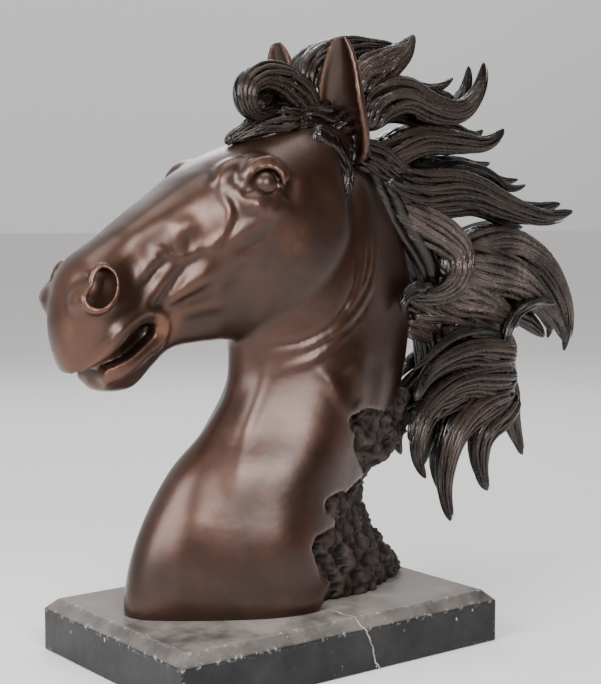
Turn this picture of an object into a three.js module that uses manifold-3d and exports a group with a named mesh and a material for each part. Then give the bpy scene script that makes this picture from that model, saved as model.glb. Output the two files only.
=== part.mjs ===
// A cast bronze horse head on a bevelled marble plinth.
// Millimetres, +Z up. The origin is the centre of the plinth's underside, and the horse looks along -X,
// with its left side towards -Y.
import * as THREE from "three";
import { mergeVertices } from "three/addons/utils/BufferGeometryUtils.js";
import Module from "manifold-3d";

const wasm = await Module();
wasm.setup();

// Driving dimensions.
const plinth = { length: 330, width: 220, height: 45, bevel: 9 };
const figureHeight = 495; // the bronze alone, from the top of the plinth to its highest lock

// The bronze is drawn in shares of its own height: 495 units tall, so that one unit is 1 mm at this size.
const unitsTall = 495;
const unit = figureHeight / unitsTall;

// Where the bronze stands on the plinth, from the plinth's centre.
const bronzePlace = { x: 0, y: 0 };

// The head's own frame: s runs from the poll to the muzzle, t is upwards, square to it.
const headPose = { pollX: 75, pollZ: 385, tiltDegrees: 25 };

// The head's cross-sections: s, top, bottom, then half widths from the jaw's edge up to the crown's edge.
const headSections = [
  [-16, 14, 12, 0, 0, 0, 0, 0],
  [-8, 27, -2, 6, 14, 18, 15, 8],
  [10, 36, -12, 12, 26, 32, 30, 18],
  [30, 42, -26, 20, 38, 42, 40, 24],
  [43, 45, -56, 24, 43, 48, 45, 27],
  [54, 48, -82, 26, 46, 52, 49, 29],
  [76, 51, -103, 25, 46, 54, 53, 31],
  [104, 54, -112, 23, 45, 55, 58, 33],
  [130, 56, -110, 21, 42, 53, 58, 33],
  [158, 54, -101, 18, 37, 48, 48, 28],
  [186, 49, -88, 16, 31, 41, 38, 23],
  [212, 45, -77, 15, 26, 35, 32, 21],
  [236, 41, -70, 14, 24, 31, 28, 19],
  [258, 38, -74, 15, 25, 32, 28, 18],
  [280, 35, -80, 17, 28, 36, 31, 19],
  [294, 29, -77, 17, 28, 35, 30, 16],
  [304, 20, -72, 15, 25, 30, 25, 13],
  [312, 8, -65, 12, 20, 24, 20, 11],
  [319, -5, -57, 9, 15, 18, 15, 8],
  [324, -22, -49, 6, 10, 11, 9, 5],
  [326, -34, -40, 0, 0, 0, 0, 0],
];
const headLevels = [0.03, 0.22, 0.5, 0.78, 0.95]; // where those half widths sit, from bottom to top

// Strokes pressed into the sides of the head: their line in s and t, reach, and lift.
const headStrokes = [
  { name: "cheek plate", line: [[112, -44], [104, -58]], reach: 58, lift: 5 },
  { name: "cheek's front edge", line: [[172, -92], [166, -58], [160, -30]], reach: 14, lift: -3.5 },
  { name: "facial crest", line: [[112, 2], [140, -2], [168, -9], [190, -15]], reach: 11, lift: 5 },
  { name: "hollow over the crest", line: [[160, 20], [190, 12], [214, 6]], reach: 18, lift: -3 },
  { name: "nasal bone", line: [[150, 44], [196, 38], [240, 32]], reach: 12, lift: 2.5 },
  { name: "brow", line: [[142, 41], [122, 46], [104, 42]], reach: 15, lift: 9 },
  { name: "temple hollow", line: [[88, 34], [76, 28]], reach: 18, lift: -6 },
  { name: "eye socket", line: [[116, 25], [126, 26]], reach: 17, lift: -8 },
  { name: "tear trough", line: [[142, 25], [152, 26]], reach: 8, lift: -3 },
  { name: "under the eye", line: [[136, 12], [120, 10]], reach: 8, lift: 3 },
  { name: "upper cheek muscle", line: [[184, -38], [206, -30], [222, -24]], reach: 13, lift: 4 },
  { name: "lower cheek muscle", line: [[232, -22], [238, -8], [236, 4]], reach: 11, lift: 4 },
  { name: "between the muscles", line: [[226, -30], [230, -10], [222, 4]], reach: 8, lift: -3 },
  { name: "behind the nostril", line: [[262, 22], [256, 6], [264, -10]], reach: 10, lift: -4 },
  { name: "nostril rim", ring: [286, 12, 17, 17], reach: 9, lift: 6.5 },
  { name: "upper lip", line: [[252, -26], [270, -22], [290, -29], [312, -36]], reach: 9, lift: 3.5 },
  { name: "lower lip", line: [[256, -56], [274, -59], [292, -60], [308, -60]], reach: 9, lift: 3.5 },
  { name: "under the lower lip", line: [[262, -68], [280, -71], [300, -72]], reach: 7, lift: -2.5 },
  { name: "jaw hollow", line: [[196, -62], [226, -52]], reach: 18, lift: -4 },
];

// The mouth is a slot between these two edges, cut in to a core of the head that is slimmer by the depth,
// and that core's floor is lifted by a share of the depth. The lower lip ends where the chin's outline cuts it.
const mouth = {
  upper: [[247, -42], [252, -35], [262, -31], [276, -32], [292, -38], [310, -43], [340, -47]],
  lower: [[340, -50], [310, -50], [294, -51], [280, -52], [264, -50], [252, -48]],
  chin: [[300, -48.5], [350, -46], [350, -98], [312, -98], [308, -68], [307, -56]],
  depth: 13,
  floorShare: 0.3,
};
const nostril = { s: 286, t: 11, reach: [13, 12, 14], sideways: 32 };

// The eyeballs, and the lid that arches over each from one angle to another, seen from the side.
const eye = { s: 120, t: 26, sideways: 50, radius: 10.5 };
const lid = { thickness: 6.5, from: -10, to: 190, stretch: 1.15, sideways: 6, flatness: 1.4 };

// The neck's level sections: height, throat, crest, half widths at the front, middle and rear, sideways shift.
const neckSections = [
  [-24, -10, -8, 0, 0, 0, 10],
  [-22, -124, 96, 32, 70, 46, 12],
  [0, -139, 112, 38, 82, 62, 12],
  [30, -137, 106, 38, 79, 58, 11],
  [60, -129, 106, 37, 74, 53, 9],
  [90, -115, 110, 35, 68, 49, 7],
  [120, -96, 118, 33, 63, 45, 4],
  [150, -68, 132, 30, 58, 41, 2],
  [180, -48, 144, 29, 54, 36, 0],
  [210, -42, 152, 29, 51, 32, 0],
  [240, -44, 156, 30, 50, 29, 0],
  [270, -40, 158, 30, 50, 27, 0],
  [300, -20, 152, 29, 48, 25, 0],
  [330, 12, 136, 26, 43, 22, 0],
  [358, 42, 114, 20, 33, 18, 0],
  [376, 62, 92, 10, 16, 10, 0],
  [380, 76, 78, 0, 0, 0, 0],
];
const neckLevels = [0.12, 0.45, 0.8]; // where those half widths sit, from throat to crest

// Folds and muscles of the neck, drawn on its side view in x and z.
const neckStrokes = [
  { name: "throat fold", line: [[66, 316], [64, 274], [46, 244], [14, 222], [-20, 206]], reach: 8, lift: 4 },
  { name: "throat groove", line: [[56, 310], [53, 276], [38, 252], [6, 232]], reach: 6, lift: -3 },
  { name: "jugular groove", line: [[-24, 210], [-52, 150], [-88, 90], [-108, 30]], reach: 16, lift: -3.5 },
  { name: "neck muscle", line: [[30, 190], [4, 120], [-30, 50]], reach: 42, lift: 4 },
];

// The neck's skin ends behind in this torn edge, in x and z from the top down.
const tear = [
  [96, 156], [70, 163], [40, 159], [41, 150], [50, 146], [48, 133], [62, 115], [71, 103], [53, 98],
  [40, 92], [30, 95], [11, 92], [9, 85], [25, 73], [23, 65], [-4, 62], [-9, 54], [0, 31], [15, 21],
  [6, 12], [-6, -6],
];
const tearBack = [[260, -30], [260, 120], [140, 150]];

// The rough core that shows behind the tear: height, front, rear, half widths, sideways shift.
const coreSections = [
  [-24, 20, 22, 0, 0, 0, 6],
  [-22, -60, 138, 40, 50, 32, 6],
  [0, -60, 145, 44, 54, 36, 6],
  [16, -58, 142, 42, 52, 36, 6],
  [32, -56, 126, 40, 49, 34, 6],
  [50, -50, 108, 38, 46, 32, 5],
  [72, -40, 100, 36, 42, 30, 4],
  [92, -30, 96, 34, 39, 28, 3],
  [108, -20, 110, 32, 38, 28, 2],
  [122, -10, 138, 32, 37, 28, 1],
  [146, 0, 150, 30, 36, 26, 0],
  [170, 20, 146, 22, 30, 20, 0],
  [178, 70, 72, 0, 0, 0, 0],
];
const coreRoughness = { size: 13, depth: 5 };

// One lock of hair: where it starts, its length, the headings it takes in the side view (0 is along +X,
// 90 is up), its drift sideways, its width in the side view and its depth across. A lock with an echo has
// a companion that many units farther back, on the horse's right.
const locks = [
  { name: "crown sweep", root: [40, -2, 425], length: 139, headings: [124, 34, 3, 8],
    drift: -2, width: 28, depth: 34 },
  { name: "crown flick", root: [83, -8, 436], length: 93, headings: [68, 25, 28, 73],
    drift: -2, width: 40, depth: 26, echo: 26 },
  { name: "crown mass", root: [56, 2, 408], length: 112, headings: [74, 56, 14, 16],
    drift: 4, width: 46, depth: 42 },
  { name: "upper small", root: [100, -4, 434], length: 122, headings: [40, 0, -1, 38],
    drift: 8, width: 20, depth: 20 },
  { name: "upper great", root: [92, -14, 404], length: 193, headings: [86, 22, -20, -4, 47, 91],
    drift: -2, width: 35, depth: 26, echo: 18 },
  { name: "upper mass", root: [95, 2, 408], length: 140, headings: [72, 20, -8, -5],
    drift: 4, width: 34, depth: 38 },
  { name: "upper under", root: [104, 2, 409], length: 158, headings: [54, -12, -14, -4],
    drift: 4, width: 28, depth: 26 },
  { name: "middle flick", root: [93, -10, 379], length: 181, headings: [10, 22, -2, -3, 46],
    drift: -4, width: 32, depth: 24, echo: 30 },
  { name: "middle mass", root: [96, 2, 366], length: 176, headings: [-8, 6, -4, -12],
    drift: 2, width: 46, depth: 38 },
  { name: "middle barb", root: [163, 2, 380], length: 103, headings: [-13, 5, 1, 5],
    drift: 2, width: 20, depth: 22 },
  { name: "middle hook", root: [148, -4, 368], length: 167, headings: [-15, 18, -5, -24, 20],
    drift: 4, width: 22, depth: 22, echo: 20 },
  { name: "middle long", root: [113, -16, 367], length: 262, headings: [-26, 5, -18, -11, 16],
    drift: 6, width: 38, depth: 24, echo: 30 },
  { name: "middle under", root: [121, -4, 352], length: 194, headings: [-30, -1, 2, -20, -11],
    drift: 6, width: 26, depth: 30 },
  { name: "middle root", root: [78, -16, 386], length: 104, headings: [-6, -25, -25, -6],
    drift: 2, width: 30, depth: 24, echo: 34 },
  { name: "low roll", root: [119, -20, 339], length: 192,
    headings: [-26, -22, -24, -37, -112, -160, -178, -182],
    drift: -16, width: 34, depth: 28, echo: 36 },
  { name: "low roll tip", root: [155, -32, 262], length: 48, headings: [173, 176, 222, 290],
    drift: -4, width: 19, depth: 16 },
  { name: "back outer", root: [180, -4, 284], length: 260, headings: [14, 14, -22, -56, -108],
    drift: -2, width: 40, depth: 26, echo: 24 },
  { name: "back middle", root: [181, -12, 286], length: 208, headings: [-6, -8, -34, -61],
    drift: 2, width: 50, depth: 26, echo: 26 },
  { name: "back mass", root: [140, 6, 272], length: 222, headings: [-2, -8, -20, -46],
    drift: 0, width: 54, depth: 36 },
  { name: "back inner", root: [177, -8, 268], length: 128, headings: [-26, -10, -23, -31],
    drift: 0, width: 44, depth: 28 },
  { name: "low bridge", root: [140, 4, 254], length: 176, headings: [-20, -14, -15, -50],
    drift: -2, width: 60, depth: 36 },
  { name: "fold leaf", root: [333, -14, 245], length: 114, headings: [175, 178, 203, 236, 276, 307],
    drift: -8, width: 15, depth: 28 },
  { name: "fan rim", root: [261, -16, 214], length: 138, headings: [170, 171, 180, 201, 211, 199],
    drift: -22, width: 15, depth: 16 },
  { name: "fan top", root: [282, -14, 196], length: 160, headings: [178, 173, 198, 238],
    drift: -20, width: 32, depth: 26, echo: 28 },
  { name: "fan middle", root: [285, -12, 174], length: 170, headings: [-180, -183, -154, -122],
    drift: -18, width: 38, depth: 28, echo: 28 },
  { name: "fan mass", root: [289, 2, 182], length: 170, headings: [178, 184, 196, 214],
    drift: -6, width: 66, depth: 32 },
  { name: "fan front tip", root: [222, -16, 169], length: 132, headings: [-168, -166, -114, -61],
    drift: -18, width: 30, depth: 22, echo: 30 },
  { name: "fan long tip", root: [281, -14, 160], length: 177, headings: [-180, -152, -105, -63],
    drift: -8, width: 37, depth: 24, echo: 26 },
  { name: "fan middle tip", root: [286, -10, 160], length: 117, headings: [-126, -148, -90, -50],
    drift: -2, width: 34, depth: 22, echo: 22 },
  { name: "fan back tip", root: [278, -4, 174], length: 88, headings: [-62, -80, -64, -61],
    drift: 2, width: 24, depth: 20 },
  { name: "crest", root: [84, 0, 376], length: 320, headings: [-36, -56, -92, -100],
    drift: 0, width: 56, depth: 46 },
  { name: "forelock ring", root: [40, -6, 412], length: 146,
    headings: [122, 133, 150, 174, 212, 284, 368, 400],
    drift: -10, width: 29, depth: 30 },
  { name: "forelock heart", root: [34, 10, 424], length: 52, headings: [168, 176, 190, 214],
    drift: 2, width: 40, depth: 24 },
  { name: "forelock mass", root: [78, -4, 398], length: 92, headings: [150, 160, 176, 190],
    drift: 0, width: 46, depth: 60 },
  { name: "forelock fall", root: [18, -6, 410], length: 72, headings: [-172, -172, -158, -146],
    drift: 2, width: 31, depth: 40 },
  { name: "temple fan", root: [18, -12, 413], length: 78, headings: [-10, -18, -34, -42],
    drift: -18, width: 30, depth: 20 },
  { name: "temple strand", root: [16, -36, 402], length: 80, headings: [-30, -37, -64, -108, -124],
    drift: -12, width: 21, depth: 13 },
];
const lockTaper = { root: 0.9, swellAt: 0.25, tip: 0.2, roundEnd: 0.1 };

// The companion of a lock: how far along X the sight line of the left front view goes for each unit of Y,
// how much shorter and higher it is, and how far its headings swing to and fro.
const echo = { sightLine: 0.77, shorter: 0.92, higher: 4, swing: 5 };

// The near ear; the other is its mirror image. Its outline is fullest above the middle and has a blunt tip,
// and it is flatter than it is wide.
const ear = {
  base: [66, -26, 374],
  tip: [40, -42, 484],
  opening: [-0.97, -0.2, 0],
  halfWidth: 25,
  hollow: 22,
  wall: 4.4,
  wrapDegrees: 108,
  fullestBy: 0.72,
  bluntness: 0.5,
  flatness: 0.7,
  thinnest: 0.4,
};

// Corners closer than this are one. Then how closely the facets follow the forms: segments round and along,
// or lengths and turns for each step.
const mergeDistance = 1e-4;
const detail = {
  head: [26, 30],
  neck: [20, 17],
  core: [14, 12],
  lockSides: 6,
  lockStep: 33,
  lockTurn: 37,
  ear: [14, 7],
  eye: [10, 6],
  lid: [5, 6],
  nostril: [10, 7],
};

// A smooth curve through evenly spaced values, at x counted in steps between them.
function spline(values, x, closed = false) {
  const n = values.length;
  const at = (i) => values[closed ? ((i % n) + n) % n : Math.min(n - 1, Math.max(0, i))];
  const i = closed ? Math.floor(x) : Math.min(n - 2, Math.max(0, Math.floor(x)));
  const f = x - i;
  const [a, b, c, d] = [at(i - 1), at(i), at(i + 1), at(i + 2)];
  return b + 0.5 * f * (c - a + f * (2 * a - 5 * b + 4 * c - d + f * (3 * (b - c) + d - a)));
}

// One row of a table of sections, at a share of the way down the table.
function sectionAt(table, share) {
  const x = share * (table.length - 1);
  return table[0].map((_, column) => spline(table.map((row) => row[column]), x));
}

// A closed outline from two ends and half widths between them, at a turn from 0 to 1: [along, across].
function outlineAt(low, high, halves, levels, turn) {
  const along = levels.map((level) => low + level * (high - low));
  const side = halves.map((half, i) => [along[i], half]);
  const ring = [[high, 0], ...[...side].reverse(), [low, 0], ...side.map(([a, half]) => [a, -half])];
  return [0, 1].map((k) => spline(ring.map((p) => p[k]), turn * ring.length, true));
}

const bump = (x) => (x < 1 ? (1 - x * x) ** 2 : 0);
const smooth = (x) => THREE.MathUtils.smoothstep(x, 0, 1);

// The distance from a point of the side view to a stroke's line, or to its ring.
function strokeDistance(stroke, p, q) {
  if (stroke.ring) {
    const [cp, cq, rp, rq] = stroke.ring;
    return Math.abs(Math.hypot((p - cp) / rp, (q - cq) / rq) - 1) * Math.min(rp, rq);
  }
  let nearest = Infinity;
  for (let i = 1; i < stroke.line.length; i++) {
    const [[ap, aq], [bp, bq]] = [stroke.line[i - 1], stroke.line[i]];
    const [dp, dq] = [bp - ap, bq - aq];
    const f = THREE.MathUtils.clamp(((p - ap) * dp + (q - aq) * dq) / (dp * dp + dq * dq), 0, 1);
    nearest = Math.min(nearest, Math.hypot(p - ap - f * dp, q - aq - f * dq));
  }
  return nearest;
}

// A sphere whose vertices are pulled to place(turn, share), with its shared vertices merged.
function pulledSphere([around, along], place) {
  const geometry = new THREE.SphereGeometry(1, around, along);
  const { position, uv } = geometry.attributes;
  for (let i = 0; i < position.count; i++) {
    const share = 1 - uv.getY(i);
    const turn = share === 0 || share === 1 ? 0 : uv.getX(i) % 1;
    position.setXYZ(i, ...place(turn, share));
  }
  geometry.deleteAttribute("normal");
  geometry.deleteAttribute("uv");
  return mergeVertices(geometry, mergeDistance);
}

// Moves each vertex along its normal by the strokes that reach it. sideView gives its place in the side view.
function sculpt(geometry, strokes, sideView) {
  geometry.computeVertexNormals();
  const { position, normal } = geometry.attributes;
  const p = new THREE.Vector3();
  const n = new THREE.Vector3();
  for (let i = 0; i < position.count; i++) {
    p.fromBufferAttribute(position, i);
    n.fromBufferAttribute(normal, i);
    const [u, v] = sideView(p);
    const flank = smooth(Math.abs(n.y) * 2);
    const lift = strokes.reduce((sum, s) => sum + s.lift * bump(strokeDistance(s, u, v) / s.reach), 0);
    p.addScaledVector(n, lift * flank);
    position.setXYZ(i, p.x, p.y, p.z);
  }
  geometry.deleteAttribute("normal");
  return geometry;
}

// A closed geometry as a solid, turned so that its faces point out.
function solid(geometry) {
  const merged = mergeVertices(new THREE.BufferGeometry()
    .setAttribute("position", geometry.attributes.position).setIndex(geometry.index), mergeDistance);
  const triangles = new Uint32Array(merged.index.array);
  const make = () => new wasm.Manifold(new wasm.Mesh({
    numProp: 3, vertProperties: merged.attributes.position.array, triVerts: triangles,
  }));
  const made = make();
  if (made.volume() > 0) return made;
  for (let i = 0; i < triangles.length; i += 3) {
    [triangles[i], triangles[i + 1]] = [triangles[i + 1], triangles[i]];
  }
  return make();
}

function geometryOf(manifold) {
  const { numProp, vertProperties, triVerts } = manifold.getMesh();
  const positions = new Float32Array((vertProperties.length / numProp) * 3);
  for (let i = 0; i * 3 < positions.length; i++) {
    positions.set(vertProperties.subarray(i * numProp, i * numProp + 3), i * 3);
  }
  return new THREE.BufferGeometry()
    .setAttribute("position", new THREE.BufferAttribute(positions, 3))
    .setIndex(new THREE.BufferAttribute(triVerts, 1));
}

// From the head's frame [s, t, y] to the figure's.
const headFrame = (() => {
  const tilt = THREE.MathUtils.degToRad(headPose.tiltDegrees);
  const forward = new THREE.Vector3(-Math.cos(tilt), 0, -Math.sin(tilt));
  const up = new THREE.Vector3(-Math.sin(tilt), 0, Math.cos(tilt));
  return new THREE.Matrix4()
    .makeBasis(forward, up, new THREE.Vector3(0, 1, 0))
    .setPosition(headPose.pollX, 0, headPose.pollZ);
})();
const inFigure = (s, t, y) => new THREE.Vector3(s, t, y).applyMatrix4(headFrame);

const muzzleEnd = headSections.at(-1)[0];

function headForm(slimmer = 0) {
  const geometry = pulledSphere(detail.head, (turn, share) => {
    const [s, top, bottom, ...halves] = sectionAt(headSections, share);
    const slim = halves.map((half) => Math.max(half - slimmer, Math.min(half, 1)));
    const [t, y] = outlineAt(bottom + slimmer * mouth.floorShare, top, slim, headLevels, turn);
    return inFigure(Math.min(s, muzzleEnd - slimmer), t, y);
  });
  const fromFigure = headFrame.clone().invert();
  return slimmer ? geometry : sculpt(geometry, headStrokes, (p) => {
    const q = p.clone().applyMatrix4(fromFigure);
    return [q.x, q.y];
  });
}

// A flat outline of the side view as a slab that passes through the whole figure.
function sideCutter(points, halfDepth = 150) {
  const shape = new THREE.Shape(points.map(([x, z]) => new THREE.Vector2(x, z)));
  return solid(new THREE.ExtrudeGeometry(shape, { depth: 2 * halfDepth, bevelEnabled: false })
    .translate(0, 0, -halfDepth)
    .rotateX(Math.PI / 2));
}

// An outline of the head's side view in the figure's.
function inSideView(points) {
  return points.map(([s, t]) => {
    const p = inFigure(s, t, 0);
    return [p.x, p.z];
  });
}

function mouthCutter() {
  const slot = sideCutter(inSideView([...mouth.upper, ...mouth.lower]));
  return slot.subtract(solid(headForm(mouth.depth))).add(sideCutter(inSideView(mouth.chin)));
}

function ballAt([around, along], place, reach) {
  return solid(new THREE.SphereGeometry(1, around, along).scale(...reach).translate(place.x, place.y, place.z));
}

function eyeSolids(side) {
  const centre = inFigure(eye.s, eye.t, side * eye.sideways);
  const ball = ballAt(detail.eye, centre, [eye.radius, eye.radius, eye.radius]);
  const arch = pulledSphere(detail.lid, (turn, share) => {
    const angle = THREE.MathUtils.degToRad(THREE.MathUtils.lerp(lid.from, lid.to, share));
    const thick = (lid.thickness / 2) * Math.sqrt(Math.max(0, 1 - (2 * share - 1) ** 4));
    const out = eye.radius + thick * Math.cos(2 * Math.PI * turn);
    return inFigure(
      eye.s + out * Math.cos(angle) * lid.stretch,
      eye.t + out * Math.sin(angle),
      side * (eye.sideways + lid.sideways + thick * lid.flatness * Math.sin(2 * Math.PI * turn)),
    );
  });
  return [ball, solid(arch)];
}

function nostrilCutter(side) {
  const [along, deep, up] = nostril.reach;
  const centre = inFigure(nostril.s, nostril.t, side * nostril.sideways);
  return ballAt(detail.nostril, centre, [along, deep, up]);
}

// The level sections of the neck or of its core, as a closed form.
function levelForm(table, segments) {
  return pulledSphere(segments, (turn, share) => {
    const [z, front, rear, ...rest] = sectionAt(table, share);
    const shift = rest.pop();
    const [x, y] = outlineAt(front, rear, rest, neckLevels, turn);
    return [x, y + shift, z];
  });
}

// Repeatable noise between -1 and 1, smooth over a cell of one unit.
function noise(x, y, z) {
  const hash = (i, j, k) => {
    const h = Math.sin(i * 127.1 + j * 311.7 + k * 74.7) * 43758.5453;
    return 2 * (h - Math.floor(h)) - 1;
  };
  const [i, j, k] = [x, y, z].map(Math.floor);
  const [fx, fy, fz] = [smooth(x - i), smooth(y - j), smooth(z - k)];
  const mix = THREE.MathUtils.lerp;
  const edge = (dj, dk) => mix(hash(i, j + dj, k + dk), hash(i + 1, j + dj, k + dk), fx);
  return mix(mix(edge(0, 0), edge(1, 0), fy), mix(edge(0, 1), edge(1, 1), fy), fz);
}

function roughCore() {
  const geometry = levelForm(coreSections, detail.core);
  geometry.computeVertexNormals();
  const { position, normal } = geometry.attributes;
  for (let i = 0; i < position.count; i++) {
    const p = new THREE.Vector3().fromBufferAttribute(position, i);
    const n = new THREE.Vector3().fromBufferAttribute(normal, i);
    const cell = p.clone().divideScalar(coreRoughness.size);
    p.addScaledVector(n, coreRoughness.depth * noise(cell.x, cell.y, cell.z));
    position.setXYZ(i, p.x, p.y, p.z);
  }
  return solid(geometry);
}

// The neck's skin, cut away along the tear on both sides.
function tornNeck() {
  const neck = sculpt(levelForm(neckSections, detail.neck), neckStrokes, (p) => [p.x, p.z]);
  return solid(neck).subtract(sideCutter([...tear, ...tearBack]));
}

// The centre line of a lock.
function lockLine({ root, length, headings, drift }) {
  const fine = 40;
  const points = [new THREE.Vector3(...root)];
  for (let i = 0; i < fine; i++) {
    const x = ((i + 0.5) / fine) * (headings.length - 1);
    const k = Math.min(headings.length - 2, Math.floor(x));
    const f = (smooth(x - k) + x - k) / 2;
    const angle = THREE.MathUtils.degToRad(THREE.MathUtils.lerp(headings[k], headings[k + 1], f));
    const step = length / fine;
    points.push(points[i].clone().add(
      new THREE.Vector3(step * Math.cos(angle), drift / fine, step * Math.sin(angle))));
  }
  return new THREE.CatmullRomCurve3(points);
}

// How thick a lock is at a share of its length, next to its full width.
function lockSize(share) {
  const { root, swellAt, tip, roundEnd } = lockTaper;
  const swell = root + (1 - root) * Math.sin((Math.min(share / swellAt, 1) * Math.PI) / 2);
  const taper = 1 - (1 - tip) * Math.max(0, (share - swellAt) / (1 - swellAt)) ** 1.3;
  const end = Math.max(0, Math.min(share, 1 - share, roundEnd)) / roundEnd;
  return swell * taper * Math.sqrt(1 - (1 - end) ** 2);
}

function lockSolid(lock) {
  const bends = lock.headings.slice(1).map((h, i) => Math.abs(h - lock.headings[i]));
  const turning = bends.reduce((a, b) => a + b);
  const steps = Math.round(Math.max(5, lock.length / detail.lockStep, turning / detail.lockTurn));
  const line = lockLine(lock);
  const geometry = pulledSphere([detail.lockSides, steps], (turn, share) => {
    const along = (share + (1 - Math.cos(Math.PI * share)) / 2) / 2;
    const point = line.getPoint(along);
    const tangent = line.getTangent(along);
    const across = new THREE.Vector3(-tangent.z, 0, tangent.x).normalize();
    const angle = 2 * Math.PI * turn;
    const size = lockSize(along);
    return point.clone()
      .addScaledVector(across, (lock.width / 2) * size * Math.cos(angle))
      .add(new THREE.Vector3(0, (lock.depth / 2) * size * Math.sin(angle), 0));
  });
  return solid(geometry);
}

// A companion on the far side, set back along the line of sight so that it fills the mane's depth.
function echoOf(lock) {
  const [x, y, z] = lock.root;
  return {
    ...lock,
    root: [x + echo.sightLine * lock.echo, y + lock.echo, z + echo.higher],
    length: lock.length * echo.shorter,
    headings: lock.headings.map((h, i) => h + (i % 2 ? echo.swing : -echo.swing)),
    drift: -lock.drift,
  };
}

function maneSolids() {
  return locks.flatMap((lock) => (lock.echo ? [lock, echoOf(lock)] : [lock])).map(lockSolid);
}

function earSolid(side) {
  const mirrored = ([x, y, z]) => new THREE.Vector3(x, -side * y, z);
  const base = mirrored(ear.base);
  const tip = mirrored(ear.tip);
  const up = tip.clone().sub(base).normalize();
  const opening = mirrored(ear.opening).addScaledVector(up, -mirrored(ear.opening).dot(up)).normalize();
  const sideways = up.clone().cross(opening);
  const wrap = THREE.MathUtils.degToRad(ear.wrapDegrees);
  const geometry = pulledSphere(detail.ear, (turn, share) => {
    const full = Math.sin(Math.PI * share ** ear.fullestBy) ** ear.bluntness;
    const outer = turn < 0.5;
    const angle = wrap * (outer ? 4 * turn - 1 : 3 - 4 * turn);
    const wall = outer ? 0 : Math.min(ear.wall, ear.halfWidth * full * ear.thinnest);
    return base.clone().lerp(tip, share)
      .addScaledVector(sideways, (ear.halfWidth * full - wall) * Math.sin(angle))
      .addScaledVector(opening, -(ear.hollow * full - wall) * Math.cos(angle) * ear.flatness);
  });
  return solid(geometry);
}

function bronzeSolid() {
  const head = [-1, 1].reduce(
    (form, side) => form.subtract(nostrilCutter(side)),
    solid(headForm()).subtract(mouthCutter()),
  );
  const parts = [
    head,
    tornNeck(),
    roughCore(),
    ...maneSolids(),
    ...[-1, 1].flatMap((side) => [earSolid(side), ...eyeSolids(side)]),
  ];
  const below = new THREE.BoxGeometry(2 * unitsTall, 2 * unitsTall, unitsTall).translate(0, 0, -unitsTall / 2);
  const whole = parts.reduce((a, b) => a.add(b));
  return whole.subtract(solid(below));
}

// A block with its top edges cut off at 45 degrees.
function plinthGeometry() {
  const { length, width, height, bevel } = plinth;
  const geometry = new THREE.BoxGeometry(length, width, height, 1, 1, 2);
  const { position } = geometry.attributes;
  for (let i = 0; i < position.count; i++) {
    const z = position.getZ(i);
    if (z === 0) position.setZ(i, height / 2 - bevel);
    if (z === height / 2) {
      position.setX(i, Math.sign(position.getX(i)) * (length / 2 - bevel));
      position.setY(i, Math.sign(position.getY(i)) * (width / 2 - bevel));
    }
  }
  geometry.translate(0, 0, height / 2);
  geometry.computeVertexNormals();
  return geometry;
}

const bronze = new THREE.Mesh(
  geometryOf(bronzeSolid()).scale(unit, unit, unit),
  new THREE.MeshStandardMaterial({ color: 0x4a2c1e, roughness: 0.32, metalness: 0.9 }),
);
bronze.name = "bronze_horse_head";
bronze.position.set(bronzePlace.x, bronzePlace.y, plinth.height);

const block = new THREE.Mesh(
  plinthGeometry(),
  new THREE.MeshStandardMaterial({ color: 0x35322f, roughness: 0.45, metalness: 0 }),
);
block.name = "marble_plinth";

const sculpture = new THREE.Group();
sculpture.add(bronze, block);
export default sculpture;
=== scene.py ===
"""A cast bronze horse's head with a flowing mane, on a bevelled black marble plinth.

The horse looks along -X with its left side towards -Y. The bronze is drawn in units of 1 mm, measured
from the middle of the plinth's top, and is brought to metres and set on the plinth at the end of each piece.
"""

import logging
import math
from dataclasses import dataclass, field
from enum import Enum

import bpy
import numpy as np
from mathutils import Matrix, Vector


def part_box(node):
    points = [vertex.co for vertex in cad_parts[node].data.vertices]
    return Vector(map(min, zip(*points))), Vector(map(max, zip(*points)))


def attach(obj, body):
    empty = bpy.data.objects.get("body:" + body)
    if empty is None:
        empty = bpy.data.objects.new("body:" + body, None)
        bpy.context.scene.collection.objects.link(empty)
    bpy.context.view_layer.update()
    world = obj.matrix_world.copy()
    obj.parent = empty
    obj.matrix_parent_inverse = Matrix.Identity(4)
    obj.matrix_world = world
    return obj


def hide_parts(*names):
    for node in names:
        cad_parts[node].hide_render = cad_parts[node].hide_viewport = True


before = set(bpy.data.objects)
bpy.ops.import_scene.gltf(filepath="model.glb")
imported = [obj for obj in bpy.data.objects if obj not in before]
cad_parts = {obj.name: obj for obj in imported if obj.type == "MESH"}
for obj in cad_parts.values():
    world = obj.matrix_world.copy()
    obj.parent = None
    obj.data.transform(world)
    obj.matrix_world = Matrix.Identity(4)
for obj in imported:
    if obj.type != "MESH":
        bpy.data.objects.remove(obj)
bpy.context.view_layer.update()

log = logging.getLogger("horse_head")

BODY = "root"
BACK_OF_MANE = "bronze_mane_back"
BRONZE_NODE = "bronze_horse_head"
PLINTH_NODE = "marble_plinth"

Points = np.ndarray
SideLine = tuple[tuple[float, float], ...]


class Slot(Enum):
    """The record's material slots."""

    BRONZE = "bronze"
    MARBLE = "marble"


class Side(Enum):
    """The two sides of the horse, by the sign of Y."""

    LEFT = -1
    RIGHT = 1


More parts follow.
